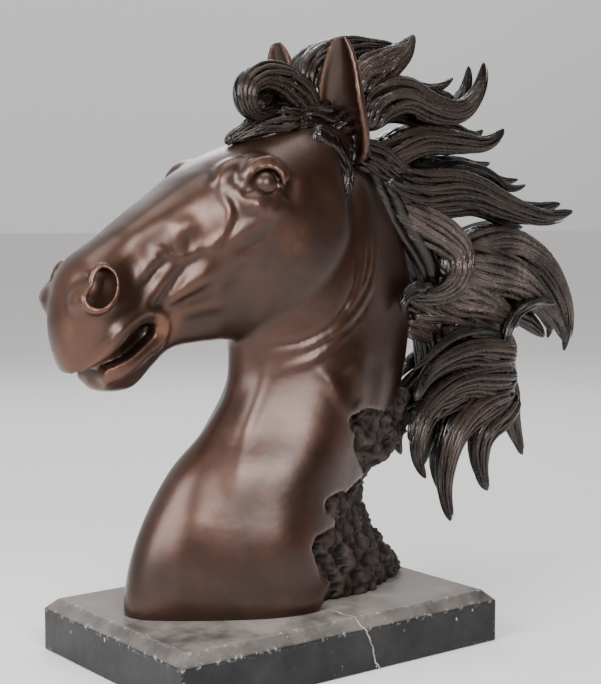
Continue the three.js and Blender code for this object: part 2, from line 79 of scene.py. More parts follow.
@dataclass(frozen=True)
class Figure:
    """Where the bronze stands and how large one drawn unit is, taken from the frame."""

    units_tall: float = 495.0
    low: Vector = field(default_factory=lambda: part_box(BRONZE_NODE)[0])
    high: Vector = field(default_factory=lambda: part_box(BRONZE_NODE)[1])

    @property
    def unit(self) -> float:
        """One drawn unit in metres."""
        return (self.high.z - self.low.z) / self.units_tall

    def in_metres(self, points: Points) -> Points:
        """Bring drawn points to metres, on top of the plinth.

        Args:
            points: Drawn points, one a row.

        Returns:
            The same points in the frame's metres.
        """
        return points * self.unit + np.array([0.0, 0.0, self.low.z])


@dataclass(frozen=True)
class HeadFrame:
    """The head's own frame: s runs from poll to muzzle, t is upwards, y is across."""

    poll_x: float = 75.0
    poll_z: float = 385.0
    tilt_degrees: float = 25.0

    @property
    def axes(self) -> Points:
        """The directions of s, t and y in the figure, one a row."""
        tilt = math.radians(self.tilt_degrees)
        c, s = math.cos(tilt), math.sin(tilt)
        return np.array([[-c, 0.0, -s], [-s, 0.0, c], [0.0, 1.0, 0.0]])

    def out(self, points: Points) -> Points:
        """Turn head points (s, t, y) into figure points.

        Args:
            points: Points in the head's frame, one a row.

        Returns:
            The points in the figure.
        """
        return points @ self.axes + np.array([self.poll_x, 0.0, self.poll_z])

    def into(self, points: Points) -> Points:
        """Turn figure points into head points (s, t, y).

        Args:
            points: Points in the figure, one a row.

        Returns:
            The points in the head's frame.
        """
        return (points - np.array([self.poll_x, 0.0, self.poll_z])) @ self.axes.T


FIGURE = Figure()
HEAD_FRAME = HeadFrame()


# Curves and fields.


def spline(values: Points, x: Points, closed: bool = False) -> Points:
    """Run a smooth curve through evenly spaced values.

    Args:
        values: The values, one a row.
        x: Where to read the curve, counted in steps between values.
        closed: Whether the last value leads back to the first.

    Returns:
        One row for each x.
    """
    n = len(values)
    i = np.floor(x).astype(int) if closed else np.clip(np.floor(x).astype(int), 0, n - 2)
    f = (x - i)[:, None]

    def at(k: Points) -> Points:
        """Read the values at whole steps."""
        return values[k % n] if closed else values[np.clip(k, 0, n - 1)]

    a, b, c, d = at(i - 1), at(i), at(i + 1), at(i + 2)
    return b + 0.5 * f * (c - a + f * (2 * a - 5 * b + 4 * c - d + f * (3 * (b - c) + d - a)))


def smoothstep(x: Points) -> Points:
    """Ease from 0 to 1 as x goes from 0 to 1."""
    x = np.clip(x, 0.0, 1.0)
    return x * x * (3.0 - 2.0 * x)


def bump(x: Points) -> Points:
    """Fall from 1 at nought to 0 at one, with no corner."""
    return np.where(x < 1.0, (1.0 - np.minimum(x, 1.0) ** 2) ** 2, 0.0)


def noise(points: Points, seed: float = 0.0) -> Points:
    """Give repeatable noise between -1 and 1 that is smooth over a cell of one.

    Args:
        points: Where to read it, one point a row.
        seed: Another seed gives another pattern.

    Returns:
        One value for each point.
    """
    cell = np.floor(points)
    part = smoothstep(points - cell)

    def corner(dx: int, dy: int, dz: int) -> Points:
        """Read the fixed random value at one corner of each cell."""
        h = np.sin((cell[:, 0] + dx) * 127.1 + (cell[:, 1] + dy) * 311.7 + (cell[:, 2] + dz) * 74.7 + seed)
        h = h * 43758.5453
        return 2.0 * (h - np.floor(h)) - 1.0

    total = np.zeros(len(points))
    for dx in (0, 1):
        for dy in (0, 1):
            for dz in (0, 1):
                share = np.ones(len(points))
                for axis, d in enumerate((dx, dy, dz)):
                    share *= part[:, axis] if d else 1.0 - part[:, axis]
                total += share * corner(dx, dy, dz)
    return total


def fine_line(line: SideLine, steps: int = 24) -> SideLine:
    """Round a line's corners.

    Args:
        line: The line's corners.
        steps: How many points the rounded line gets.

    Returns:
        The rounded line.
    """
    corners = np.array(line)
    return tuple(map(tuple, spline(corners, np.linspace(0.0, len(corners) - 1.0, steps))))


@dataclass(frozen=True)
class Stroke:
    """A mark that lifts or sinks the skin along a line of the side view, fading out at its two ends."""

    lift: float
    reach: float
    line: SideLine
    fade: float = 0.3

    def strength(self, places: Points) -> Points:
        """Give the lift at each place of the side view."""
        line = np.array(fine_line(self.line))
        ends = np.ones(len(line))
        if self.fade:
            ends = np.clip((1.0 - np.abs(np.linspace(-1.0, 1.0, len(line)))) / self.fade, 0.0, 1.0)
        nearest = np.full(len(places), np.inf)
        share = np.zeros(len(places))
        for a, b, left, right in zip(line[:-1], line[1:], ends[:-1], ends[1:]):
            f = np.clip(((places - a) @ (b - a)) / max((b - a) @ (b - a), 1e-9), 0.0, 1.0)
            gap = np.linalg.norm(places - a - f[:, None] * (b - a), axis=1)
            closer = gap < nearest
            nearest = np.where(closer, gap, nearest)
            share = np.where(closer, left + (right - left) * f, share)
        return self.lift * bump(nearest / self.reach) * (0.15 + 0.85 * share)


# Meshes.


def deselect() -> None:
    """Leave nothing selected."""
    if bpy.context.object is not None and bpy.context.object.mode != "OBJECT":
        bpy.ops.object.mode_set(mode="OBJECT")
    bpy.ops.object.select_all(action="DESELECT")


def pick(*pieces: bpy.types.Object) -> bpy.types.Object:
    """Select only these pieces, the first one active.

    Args:
        pieces: The pieces to select.

    Returns:
        The first piece.
    """
    deselect()
    for piece in pieces:
        piece.select_set(True)
    bpy.context.view_layer.objects.active = pieces[0]
    return pieces[0]


def read_points(piece: bpy.types.Object) -> Points:
    """Read a piece's vertices, one a row."""
    points = np.empty(len(piece.data.vertices) * 3)
    piece.data.vertices.foreach_get("co", points)
    return points.reshape(-1, 3)


def write_points(piece: bpy.types.Object, points: Points) -> None:
    """Move a piece's vertices to these points."""
    piece.data.vertices.foreach_set("co", points.ravel())
    piece.data.update()


def read_normals(piece: bpy.types.Object) -> Points:
    """Read the normals at a piece's vertices, one a row."""
    normals = np.empty(len(piece.data.vertices) * 3)
    piece.data.vertex_normals.foreach_get("vector", normals)
    return normals.reshape(-1, 3)


def write_values(piece: bpy.types.Object, name: str, values: Points) -> None:
    """Keep one number for each vertex under a name that materials read."""
    attribute = piece.data.attributes.get(name) or piece.data.attributes.new(name, "FLOAT", "POINT")
    attribute.data.foreach_set("value", values.astype(np.float32))


def ball(name: str, around: int, along: int) -> tuple[bpy.types.Object, Points, Points]:
    """Add a ball whose vertices are to be pulled into a form.

    Args:
        name: The piece's name.
        around: How many segments go round it.
        along: How many rings there are from pole to pole.

    Returns:
        The ball, and for each vertex its turn round the axis and its share of the way from top to bottom.
    """
    deselect()
    bpy.ops.mesh.primitive_uv_sphere_add(segments=around, ring_count=along, radius=1.0)
    piece = bpy.context.object
    piece.name = name
    points = read_points(piece)
    share = np.round(np.arccos(np.clip(points[:, 2], -1.0, 1.0)) / math.pi * along) / along
    turn = np.round(np.arctan2(points[:, 1], points[:, 0]) / math.tau * around) / around % 1.0
    return piece, turn, share


def apply_modifier(piece: bpy.types.Object, kind: str, **settings: object) -> None:
    """Add a modifier to a piece and apply it.

    Args:
        piece: The piece.
        kind: The modifier's type.
        settings: The modifier's own settings.
    """
    pick(piece)
    modifier = piece.modifiers.new(kind.title(), kind)
    for key, value in settings.items():
        setattr(modifier, key, value)
    bpy.ops.object.modifier_apply(modifier=modifier.name)


def face_out(piece: bpy.types.Object) -> bpy.types.Object:
    """Turn all faces of a closed piece outwards."""
    pick(piece)
    bpy.ops.object.mode_set(mode="EDIT")
    bpy.ops.mesh.select_all(action="SELECT")
    bpy.ops.mesh.normals_make_consistent(inside=False)
    bpy.ops.object.mode_set(mode="OBJECT")
    return piece


def cut(piece: bpy.types.Object, cutter: bpy.types.Object) -> None:
    """Cut one closed piece out of another and remove the cutter."""
    apply_modifier(piece, "BOOLEAN", operation="DIFFERENCE", object=cutter, solver="MANIFOLD")
    bpy.data.objects.remove(cutter, do_unlink=True)


def join(name: str, pieces: list[bpy.types.Object]) -> bpy.types.Object:
    """Make one object of several pieces.

    Args:
        name: The joined object's name.
        pieces: The pieces.

    Returns:
        The joined object.
    """
    pick(*pieces)
    bpy.ops.object.join()
    joined = bpy.context.object
    joined.name = name
    joined.data.name = name
    return joined


def shade_smooth(piece: bpy.types.Object) -> None:
    """Shade a piece smoothly all over."""
    pick(piece)
    bpy.ops.object.shade_smooth()


def relief_of(piece: bpy.types.Object, passes: int) -> Points:
    """Measure how far each vertex stands above (or, below nought, under) the surface around it.

    Args:
        piece: The piece.
        passes: How many times the surface is averaged: more passes look farther around.

    Returns:
        One height for each vertex, in the piece's own units.
    """
    points, normals = read_points(piece), read_normals(piece)
    edges = np.empty(len(piece.data.edges) * 2, dtype=np.int64)
    piece.data.edges.foreach_get("vertices", edges)
    a, b = edges[0::2], edges[1::2]
    count = np.bincount(edges, minlength=len(points)).astype(float)
    even = points.copy()
    for _ in range(passes):
        total = np.stack([
            np.bincount(a, even[b, k], len(points)) + np.bincount(b, even[a, k], len(points))
            for k in range(3)
        ], axis=1)
        even = total / np.maximum(count, 1.0)[:, None]
    return np.einsum("ij,ij->i", points - even, normals)


def sections_to_points(
    table: Points, levels: Points, turn: Points, share: Points
) -> tuple[Points, Points, Points, Points]:
    """Read a form that is given by a table of cross-sections.

    Args:
        table: One section a row: its place, its low and high end, then half widths.
        levels: Where those half widths sit, as shares of the way from low to high.
        turn: For each vertex, its turn round the section.
        share: For each vertex, its share of the way down the table.

    Returns:
        For each vertex: the section's place, the place along the section, the place across it, and
        whatever columns of the table are left.
    """
    rows = spline(table, share * (len(table) - 1))
    place, low, high = rows[:, 0], rows[:, 1], rows[:, 2]
    halves = rows[:, 3:3 + len(levels)]
    along = low[:, None] + levels[None, :] * (high - low)[:, None]
    nought = np.zeros(len(rows))
    ring_along = np.column_stack([high, along[:, ::-1], low, along])
    ring_across = np.column_stack([nought, halves[:, ::-1], nought, -halves])
    n = ring_along.shape[1]
    x = turn * n
    i = np.floor(x).astype(int)
    f = x - i
    pick_row = np.arange(len(rows))

    def read(ring: Points) -> Points:
        """Read each vertex's own closed outline at its turn."""
        a, b, c, d = (ring[pick_row, (i + k) % n] for k in (-1, 0, 1, 2))
        return b + 0.5 * f * (c - a + f * (2 * a - 5 * b + 4 * c - d + f * (3 * (b - c) + d - a)))

    return place, read(ring_along), read(ring_across), rows[:, 3 + len(levels):]


# Finishes.


class Nodes:
    """A material's node tree, with short ways to add the nodes that these finishes share."""

    def __init__(self, name: str) -> None:
        """Start a material with its surface shader only."""
        self.material = bpy.data.materials.new(name)
        self.material.use_nodes = True
        self.tree = self.material.node_tree
        self.shader = self.tree.nodes["Principled BSDF"]
        self.place = self.add("ShaderNodeTexCoord").outputs["Object"]

    def add(self, kind: str, **settings: object) -> bpy.types.Node:
        """Add a node and give it its settings."""
        node = self.tree.nodes.new(kind)
        for key, value in settings.items():
            setattr(node, key, value)
        return node

    def link(self, source: bpy.types.NodeSocket, target: bpy.types.NodeSocket) -> None:
        """Lead one socket to another."""
        self.tree.links.new(source, target)

    def noise(self, scale: float, detail: float = 4.0, roughness: float = 0.6) -> bpy.types.NodeSocket:
        """Give noise on the piece's own coordinates."""
        node = self.add("ShaderNodeTexNoise")
        node.inputs["Scale"].default_value = scale
        node.inputs["Detail"].default_value = detail
        node.inputs["Roughness"].default_value = roughness
        self.link(self.place, node.inputs["Vector"])
        return node.outputs["Fac"]

    def value(self, name: str) -> bpy.types.NodeSocket:
        """Read a number that is kept at the vertices."""
        return self.add("ShaderNodeAttribute", attribute_name=name).outputs["Fac"]

    def between(
        self, source: bpy.types.NodeSocket, low: float, high: float, to_low: float = 0.0, to_high: float = 1.0
    ) -> bpy.types.NodeSocket:
        """Bring a number from one range to another, held at the ends."""
        node = self.add("ShaderNodeMapRange", clamp=True)
        for key, number in zip(("From Min", "From Max", "To Min", "To Max"), (low, high, to_low, to_high)):
            node.inputs[key].default_value = number
        self.link(source, node.inputs["Value"])
        return node.outputs["Result"]

    def maths(self, operation: str, a: object, b: object = 0.0) -> bpy.types.NodeSocket:
        """Work out one number from two, each a socket or a plain number."""
        node = self.add("ShaderNodeMath", operation=operation)
        for socket, given in zip(node.inputs, (a, b)):
            if isinstance(given, (int, float)):
                socket.default_value = given
            else:
                self.link(given, socket)
        return node.outputs["Value"]

    def mixed(self, share: bpy.types.NodeSocket, a: object, b: object) -> bpy.types.NodeSocket:
        """Mix two colours, each a socket or a plain colour, by a share."""
        node = self.add("ShaderNodeMix", data_type="RGBA")
        self.link(share, node.inputs["Factor"])
        for index, given in ((6, a), (7, b)):
            if isinstance(given, tuple):
                node.inputs[index].default_value = (*given, 1.0)
            else:
                self.link(given, node.inputs[index])
        return node.outputs[2]

    def bumped(self, *layers: tuple[bpy.types.NodeSocket, float, float]) -> None:
        """Roughen the surface by layers of height, each with its strength and its depth in metres."""
        normal = None
        for height, strength, depth in layers:
            node = self.add("ShaderNodeBump")
            node.inputs["Strength"].default_value = strength
            node.inputs["Distance"].default_value = depth
            self.link(height, node.inputs["Height"])
            if normal is not None:
                self.link(normal, node.inputs["Normal"])
            normal = node.outputs["Normal"]
        self.link(normal, self.shader.inputs["Normal"])

    def plain(self, **inputs: float) -> None:
        """Set numbers on the shader itself, by socket names with underscores for spaces."""
        for key, number in inputs.items():
            self.shader.inputs[key.replace("_", " ").title().replace("Ior", "IOR")].default_value = number


@dataclass(frozen=True)
class PolishedSkin:
    """Dark brown patina, polished: orange where hands reach, darker in the hollows, where patina gathers and
    shade is painted in.
    """

    name: str = "polished_brown_bronze"
    deep: tuple[float, float, float] = (0.0060, 0.0026, 0.0017)
    brown: tuple[float, float, float] = (0.0240, 0.0086, 0.0045)
    clouded: tuple[float, float, float] = (0.054, 0.0205, 0.0108)
    rubbed: tuple[float, float, float] = (0.185, 0.072, 0.034)
    worn_ridge: tuple[float, float, float] = (0.150, 0.066, 0.040)

    def material(self) -> bpy.types.Material:
        """Make the finish."""
        n = Nodes(self.name)
        relief = n.value("relief")
        body = n.mixed(n.between(n.noise(9.0, 6.0), 0.42, 0.68), self.brown, self.clouded)
        streaks = n.between(n.noise(17.0, 7.0), 0.50, 0.72)
        body = n.mixed(n.between(n.noise(64.0, 6.0), 0.50, 0.74, 0.0, 0.45), body, self.clouded)
        warm = n.maths("MULTIPLY", n.maths("ADD", n.value("wear"), 0.12), n.maths("ADD", streaks, 0.22))
        body = n.mixed(n.between(warm, 0.0, 1.1), body, self.rubbed)
        # Painted shade: hollows found by the relief are mixed towards the deep colour, over the patina that
        # gathers there.
        hollow_patina_and_shade = n.maths("MULTIPLY", n.between(relief, 0.0, -1.8), 0.7)
        colour = n.mixed(hollow_patina_and_shade, body, self.deep)
        ridge = n.maths("MULTIPLY", n.between(relief, 0.3, 1.8), 0.30)
        n.link(n.mixed(ridge, colour, self.worn_ridge), n.shader.inputs["Base Color"])
        n.link(n.between(n.noise(26.0, 7.0), 0.32, 0.72, 0.31, 0.47), n.shader.inputs["Roughness"])
        n.plain(metallic=0.72, coat_weight=0.5, coat_roughness=0.30)
        waves, dents, pores = n.noise(26.0, 3.0), n.noise(95.0, 3.0), n.noise(420.0)
        n.bumped((waves, 0.5, 0.0022), (dents, 0.2, 0.0006), (pores, 0.1, 0.0003))
        return n.material


@dataclass(frozen=True)
class TooledHair:
    """Nearly black bronze with fine tooled lines, ridges rubbed lighter and carrying a painted highlight, and
    painted shade in its grooves.
    """

    name: str = "tooled_dark_bronze"
    deep: tuple[float, float, float] = (0.0026, 0.0016, 0.0012)
    brown: tuple[float, float, float] = (0.018, 0.0096, 0.0068)
    # Colour of the ridge tops: rubbed bronze that also serves as a painted highlight.
    rubbed: tuple[float, float, float] = (0.150, 0.092, 0.068)
    rub_and_sheen_share: float = 0.65
    fine_lines: int = 14

    def material(self) -> bpy.types.Material:
        """Make the finish."""
        n = Nodes(self.name)
        split = n.add("ShaderNodeSeparateXYZ")
        n.link(n.add("ShaderNodeUVMap").outputs["UV"], split.inputs["Vector"])
        wander = n.add("ShaderNodeTexNoise", noise_dimensions="1D")
        wander.inputs["Scale"].default_value = 5.0
        n.link(split.outputs["Y"], wander.inputs["W"])
        turned = n.maths("ADD", split.outputs["X"], n.maths("MULTIPLY", wander.outputs["Fac"], 0.16))
        lines = n.between(n.maths("SINE", n.maths("MULTIPLY", turned, math.tau * self.fine_lines)), -1.0, 1.0)
        patches = n.between(n.noise(20.0, 5.0), 0.36, 0.70, 0.15, 1.0)
        # Painted highlight over real rubbing: crests and the outward sides of strands get the rubbed colour
        # in patches.
        ridge = n.between(n.value("strand"), 0.50, 1.0)
        # Painted shade: where the strand value is low, in grooves and on strand sides facing their lock, the
        # colour goes to deep.
        body = n.mixed(n.between(n.value("strand"), 0.0, 0.45), self.deep, self.brown)
        rub = n.maths("MULTIPLY", n.maths("MULTIPLY", ridge, patches), self.rub_and_sheen_share)
        body = n.mixed(rub, body, self.rubbed)
        # Painted shade: hollows found by the relief go to the deep colour.
        body = n.mixed(n.between(n.value("relief"), -0.9, 0.1), self.deep, body)
        # Painted shade: the troughs of the fine tooled lines are darkened.
        scored = n.maths("MULTIPLY", n.between(lines, 0.35, 0.0), 0.5)
        n.link(n.mixed(scored, body, self.deep), n.shader.inputs["Base Color"])
        n.link(n.between(n.noise(60.0), 0.3, 0.7, 0.20, 0.36), n.shader.inputs["Roughness"])
        n.plain(metallic=0.62, coat_weight=0.55, coat_roughness=0.14)
        n.bumped((lines, 0.8, 0.0010), (n.noise(130.0, 5.0), 0.6, 0.0014))
        return n.material


@dataclass(frozen=True)
class RoughCast:
    """Dark unfinished casting skin, like broken rock, with painted shade in its hollows."""

    deep: tuple[float, float, float] = (0.0085, 0.0056, 0.0048)
    brown: tuple[float, float, float] = (0.056, 0.040, 0.034)

    def material(self) -> bpy.types.Material:
        """Make the finish."""
        n = Nodes("rough_cast_bronze")
        # Painted shade: the relief runs the colour from deep in the hollows to brown on the high points.
        high = n.between(n.value("relief"), -1.0, 1.4)
        n.link(n.mixed(high, self.deep, self.brown), n.shader.inputs["Base Color"])
        n.link(n.between(n.noise(80.0), 0.3, 0.7, 0.38, 0.62), n.shader.inputs["Roughness"])
        n.plain(metallic=0.5)
        n.bumped((n.noise(130.0, 8.0, 0.7), 0.8, 0.0022), (n.noise(600.0, 4.0), 0.4, 0.0005))
        return n.material


@dataclass(frozen=True)
class BlackMarble:
    """Honed black marble with dust on its top, pale specks and one thin white vein."""

    stone: tuple[float, float, float] = (0.008, 0.0079, 0.0084)
    cloud: tuple[float, float, float] = (0.026, 0.0252, 0.0258)
    dust: tuple[float, float, float] = (0.225, 0.200, 0.183)
    white: tuple[float, float, float] = (0.42, 0.41, 0.39)
    vein_x: float = 0.014
    vein_lean: float = 0.45
    vein_width: float = 0.0009
    vein_end_y: float = -0.060

    def material(self) -> bpy.types.Material:
        """Make the finish."""
        n = Nodes("honed_black_marble")
        split = n.add("ShaderNodeSeparateXYZ")
        n.link(n.place, split.inputs["Vector"])
        x, y, z = (split.outputs[k] for k in "XYZ")
        body = n.mixed(n.between(n.noise(26.0, 10.0, 0.7), 0.42, 0.70), self.stone, self.cloud)
        up = n.add("ShaderNodeSeparateXYZ")
        n.link(n.add("ShaderNodeNewGeometry").outputs["Normal"], up.inputs["Vector"])
        flat, drifts = n.between(up.outputs["Z"], 0.3, 0.95), n.between(n.noise(22.0, 7.0), 0.25, 0.62)
        settled = n.maths("MULTIPLY", flat, drifts)
        body = n.mixed(settled, body, self.dust)
        stretched = n.add("ShaderNodeMapping")
        stretched.inputs["Scale"].default_value = (140.0, 140.0, 60.0)
        n.link(n.place, stretched.inputs["Vector"])
        specks = n.add("ShaderNodeTexVoronoi", feature="F1")
        specks.inputs["Scale"].default_value = 1.0
        n.link(stretched.outputs["Vector"], specks.inputs["Vector"])
        rare = n.between(n.noise(90.0, 2.0), 0.56, 0.62)
        speck = n.maths("MULTIPLY", n.between(specks.outputs["Distance"], 0.16, 0.08), rare)
        body = n.mixed(speck, body, self.white)
        lean = n.maths("MULTIPLY", n.maths("SUBTRACT", 0.031, z), self.vein_lean)
        wander = n.maths("MULTIPLY", n.maths("SUBTRACT", n.noise(24.0, 5.0), 0.5), 0.02)
        centre = n.maths("ADD", n.maths("ADD", lean, wander), self.vein_x)
        off = n.maths("ABSOLUTE", n.maths("SUBTRACT", x, centre))
        vein = n.between(off, self.vein_width, self.vein_width * 0.35)
        vein = n.maths("MULTIPLY", vein, n.between(y, self.vein_end_y, self.vein_end_y - 0.02))
        vein = n.maths("MULTIPLY", vein, n.between(n.noise(120.0), 0.3, 0.5, 0.35, 0.9))
        body = n.mixed(vein, body, self.white)
        chalk = n.value("edge")
        broken = n.between(n.noise(210.0, 7.0), 0.54, 0.66)
        rub = n.maths("MULTIPLY", n.maths("MULTIPLY", chalk, 0.55), broken)
        n.link(n.mixed(rub, body, self.white), n.shader.inputs["Base Color"])
        honed = n.between(n.noise(50.0, 5.0), 0.3, 0.7, 0.28, 0.46)
        rough = n.maths("MAXIMUM", honed, n.maths("MULTIPLY", settled, 0.8))
        n.link(rough, n.shader.inputs["Roughness"])
        n.plain(specular_ior_level=0.3)
        n.bumped((n.noise(300.0, 5.0), 0.25, 0.0004))
        return n.material


# The bronze.


@dataclass
class Skin:
    """The smooth skin of the head and the neck, with eyes, ears, nostrils, mouth and torn edge."""

    grain: float = 2.12
    head_sections: tuple[tuple[float, ...], ...] = (
        (-16, 12, 14, 0, 0, 0, 0, 0),
        (-8, -2, 27, 6, 14, 18, 15, 8),
        (10, -12, 36, 12, 26, 32, 30, 18),
        (30, -26, 42, 20, 38, 42, 40, 24),
        (43, -56, 45, 24, 43, 48, 45, 27),
        (54, -82, 48, 26, 46, 52, 49, 29),
        (76, -103, 51, 25, 46, 54, 53, 31),
        (104, -112, 54, 23, 45, 55, 58, 33),
        (130, -110, 56, 21, 42, 53, 58, 33),
        (158, -101, 54, 18, 37, 48, 48, 28),
        (186, -88, 49, 16, 31, 41, 38, 23),
        (212, -77, 45, 15, 26, 35, 32, 21),
        (236, -70, 41, 14, 24, 31, 28, 19),
        (258, -74, 38, 15, 25, 32, 28, 18),
        (280, -80, 35, 17, 28, 36, 31, 19),
        (294, -77, 29, 17, 28, 35, 30, 16),
        (304, -72, 20, 15, 25, 30, 25, 13),
        (312, -65, 8, 12, 20, 24, 20, 11),
        (319, -57, -5, 9, 15, 18, 15, 8),
        (324, -49, -22, 6, 10, 11, 9, 5),
        (326, -40, -34, 0, 0, 0, 0, 0),
    )
    head_levels: tuple[float, ...] = (0.03, 0.22, 0.5, 0.78, 0.95)
    neck_sections: tuple[tuple[float, ...], ...] = (
        (-24, -10, -8, 0, 0, 0, 10),
        (-22, -124, 96, 32, 70, 46, 12),
        (0, -139, 112, 38, 82, 62, 12),
        (30, -137, 106, 38, 79, 58, 11),
        (60, -129, 106, 37, 74, 53, 9),
        (90, -115, 110, 35, 68, 49, 7),
        (120, -96, 118, 33, 63, 45, 4),
        (150, -68, 132, 30, 58, 41, 2),
        (180, -48, 144, 29, 54, 36, 0),
        (210, -42, 152, 29, 51, 32, 0),
        (240, -44, 156, 30, 50, 29, 0),
        (270, -40, 158, 30, 50, 27, 0),
        (300, -20, 152, 29, 48, 25, 0),
        (330, 12, 136, 26, 43, 22, 0),
        (358, 42, 114, 20, 33, 18, 0),
        (376, 62, 92, 10, 16, 10, 0),
        (380, 76, 78, 0, 0, 0, 0),
    )
    neck_levels: tuple[float, ...] = (0.12, 0.45, 0.8)
    tear: SideLine = (
        (96, 156), (70, 163), (40, 159), (41, 150), (50, 146), (48, 133), (62, 115), (71, 103), (53, 98),
        (40, 92), (30, 95), (11, 92), (9, 85), (25, 73), (23, 65), (-4, 62), (-9, 54), (0, 31), (15, 21),
        (6, 12), (-6, -6),
    )
    tear_back: SideLine = ((260, -30), (260, 120), (140, 150))
    mouth_upper: SideLine = (
        (247, -42), (252, -36), (262, -32.5), (276, -34.5), (292, -40), (310, -44), (345, -47.5),
    )
    mouth_lower: SideLine = ((345, -50), (310, -50), (294, -51), (280, -52), (264, -50), (252, -48))
    mouth_depth: float = 15.0
    chin: SideLine = ((300, -48.5), (350, -46), (350, -98), (312, -98), (308, -68), (307, -56))
    nostril_rim: tuple[tuple[float, float, float], ...] = (
        (272, 24, 31), (269, 17, 34), (272, 8, 37), (281, 0, 39), (294, -3, 38.5), (301, 3, 35.5),
        (300, 11, 33), (290, 16, 31), (284, 22, 30), (278, 25.5, 30.5),
    )
    rim_thick: float = 3.5
    nostril_depth: float = 13.0
    nostril_share: float = 0.92
    chin_pad: tuple[tuple[float, float, float], tuple[float, float, float]] = ((301, -64, 0), (9, 8, 20))
    eye: tuple[float, float, float] = (120, 24.5, 50)
    eye_radius: float = 10.6
    upper_lid: tuple[tuple[float, float, float], ...] = (
        (142.5, 28.5, 47), (136.5, 33.5, 48), (128, 37.5, 50), (119.5, 38, 52), (112, 36, 55),
        (108, 30.5, 58), (107.5, 23, 60), (111, 17, 59.5),
    )
    lid_fold: tuple[tuple[float, float, float], ...] = (
        (140, 36.5, 47), (129.5, 42, 48), (120, 43.5, 49), (112, 42.5, 50.5), (105, 39, 53),
        (101.5, 32.5, 56), (101.5, 25, 58), (105, 18, 58),
    )
    lower_lid: tuple[tuple[float, float, float], ...] = (
        (142, 28, 46.5), (139.5, 23, 50), (135, 18, 53.5), (128, 14.5, 56), (120.5, 13, 57.5),
        (113.5, 14, 58),
    )
    mounds: tuple[tuple[tuple[float, float, float], tuple[float, float, float]], ...] = (
        ((136, 39, 35), (21, 15, 11)), ((118, 32, 37), (20, 18, 14)), ((295, 4, 23), (14.5, 15, 13)),
    )
    ear_bases: tuple[tuple[float, float, float], ...] = ((66, -26, 374), (52, 27, 374))
    ear_tips: tuple[tuple[float, float, float], ...] = ((40, -42, 484), (34, 42, 486))
    ear_openings: tuple[tuple[float, float, float], ...] = ((-0.97, -0.24, 0.0), (-0.99, -0.10, 0.0))
    ear_half_width: float = 25.0
    ear_hollow: float = 22.0
    ear_wall: float = 5.2
    ear_wrap_degrees: float = 104.0

    head_strokes: tuple[Stroke, ...] = (
        Stroke(5.0, 58, ((112, -44), (104, -58)), 0.0),
        Stroke(-2.2, 20, ((178, -84), (174, -62), (168, -40)), 0.0),
        Stroke(-5.0, 14, ((118, 25), (122, 26)), 0.0),
        Stroke(-4.0, 15, ((98, 22), (104, 12), (114, 6)), 0.3),
        Stroke(-2.5, 6, ((134, 25), (140, 26)), 0.0),
        Stroke(2.4, 8, ((141, 17), (134, 9), (124, 2)), 0.3),
        Stroke(1.2, 8, ((156, 43), (152, 36), (147, 27))),
        Stroke(2.0, 10, ((112, 6), (132, 1), (150, -1), (166, -3), (184, -8)), 0.5),
        Stroke(-1.3, 7, ((130, -8), (150, -14), (168, -13)), 0.5),
        Stroke(1.3, 3.0, ((144, 23), (137, 21.5), (134, 17), (130, 10)), 0.5),
        Stroke(1.3, 3.0, ((145.5, 21), (142, 19.5), (138, 13.5), (135, 6.5)), 0.5),
        Stroke(1.1, 3.0, ((147, 17.5), (144.5, 14.5), (142, 9)), 0.5),
        Stroke(
            1.4, 4.2,
            ((157, 35), (158, 28), (158, 21), (160, 15), (165, 9), (172, 3), (181, 0), (187, -4)), 0.1,
        ),
        Stroke(-1.2, 4.6, ((151, 32), (152, 23), (154, 14), (159, 7), (167, 1), (176, -4)), 0.3),
        Stroke(1.2, 10, ((206, 21), (198, 22), (190, 20), (181, 16)), 0.6),
        Stroke(-1.0, 14, ((176, 28), (190, 10), (206, 7)), 0.5),
        Stroke(1.6, 16, ((146, 46), (196, 40), (244, 33)), 0.3),
        Stroke(
            1.4, 3.8,
            ((229, 15), (223, 15), (218, 9), (213, 4), (207, 0), (200, -1), (195, 1), (188, 0)), 0.2,
        ),
        Stroke(-2.3, 7, ((190, -4), (205, -6), (214, -10), (222, -16), (231, -21), (244, -28)), 0.4),
        Stroke(2.3, 7, ((222, -6), (233, -10), (241, -15), (250, -19), (262, -25)), 0.5),
        Stroke(-1.7, 6, ((216, 6), (230, 1), (240, -2), (252, -9)), 0.5),
        Stroke(1.4, 5.4, ((223, 11), (235, 7), (247, 2)), 0.5),
        Stroke(3.4, 11, ((236, -28), (216, -24), (202, -22), (184, -19)), 0.6),
        Stroke(-1.5, 10, ((186, -34), (172, -34), (158, -30)), 0.5),
        Stroke(-1.4, 7, ((242, -33), (222, -34), (204, -36), (186, -34)), 0.5),
        Stroke(1.6, 11, ((224, -41), (206, -46), (182, -52)), 0.5),
        Stroke(-2.6, 13, ((250, 20), (252, 6), (260, -10)), 0.6),
        Stroke(-1.1, 3.6, ((291, 30), (301, 24), (308, 12)), 0.5),
        Stroke(-0.8, 3.6, ((302, 29), (309, 20), (313, 8)), 0.5),
        Stroke(2.6, 7.5, ((248, -27), (262, -24), (280, -25), (293, -31), (306, -39), (318, -44)), 0.15),
        Stroke(-1.4, 9, ((262, -14), (284, -15), (302, -24), (314, -34)), 0.6),
        Stroke(2.2, 6.5, ((247, -57), (264, -57), (282, -59), (298, -61), (312, -60), (322, -58)), 0.15),
        Stroke(-1.0, 7, ((254, -65), (276, -69), (296, -72)), 0.4),
        Stroke(2.4, 6, ((254, -27), (244, -32), (239, -42), (241, -51), (250, -57)), 0.1),
        Stroke(-0.8, 6.5, ((248, -21), (236, -29), (231, -42), (235, -55), (246, -64)), 0.4),
        Stroke(-1.1, 22, ((190, -64), (228, -54)), 0.6),
    )
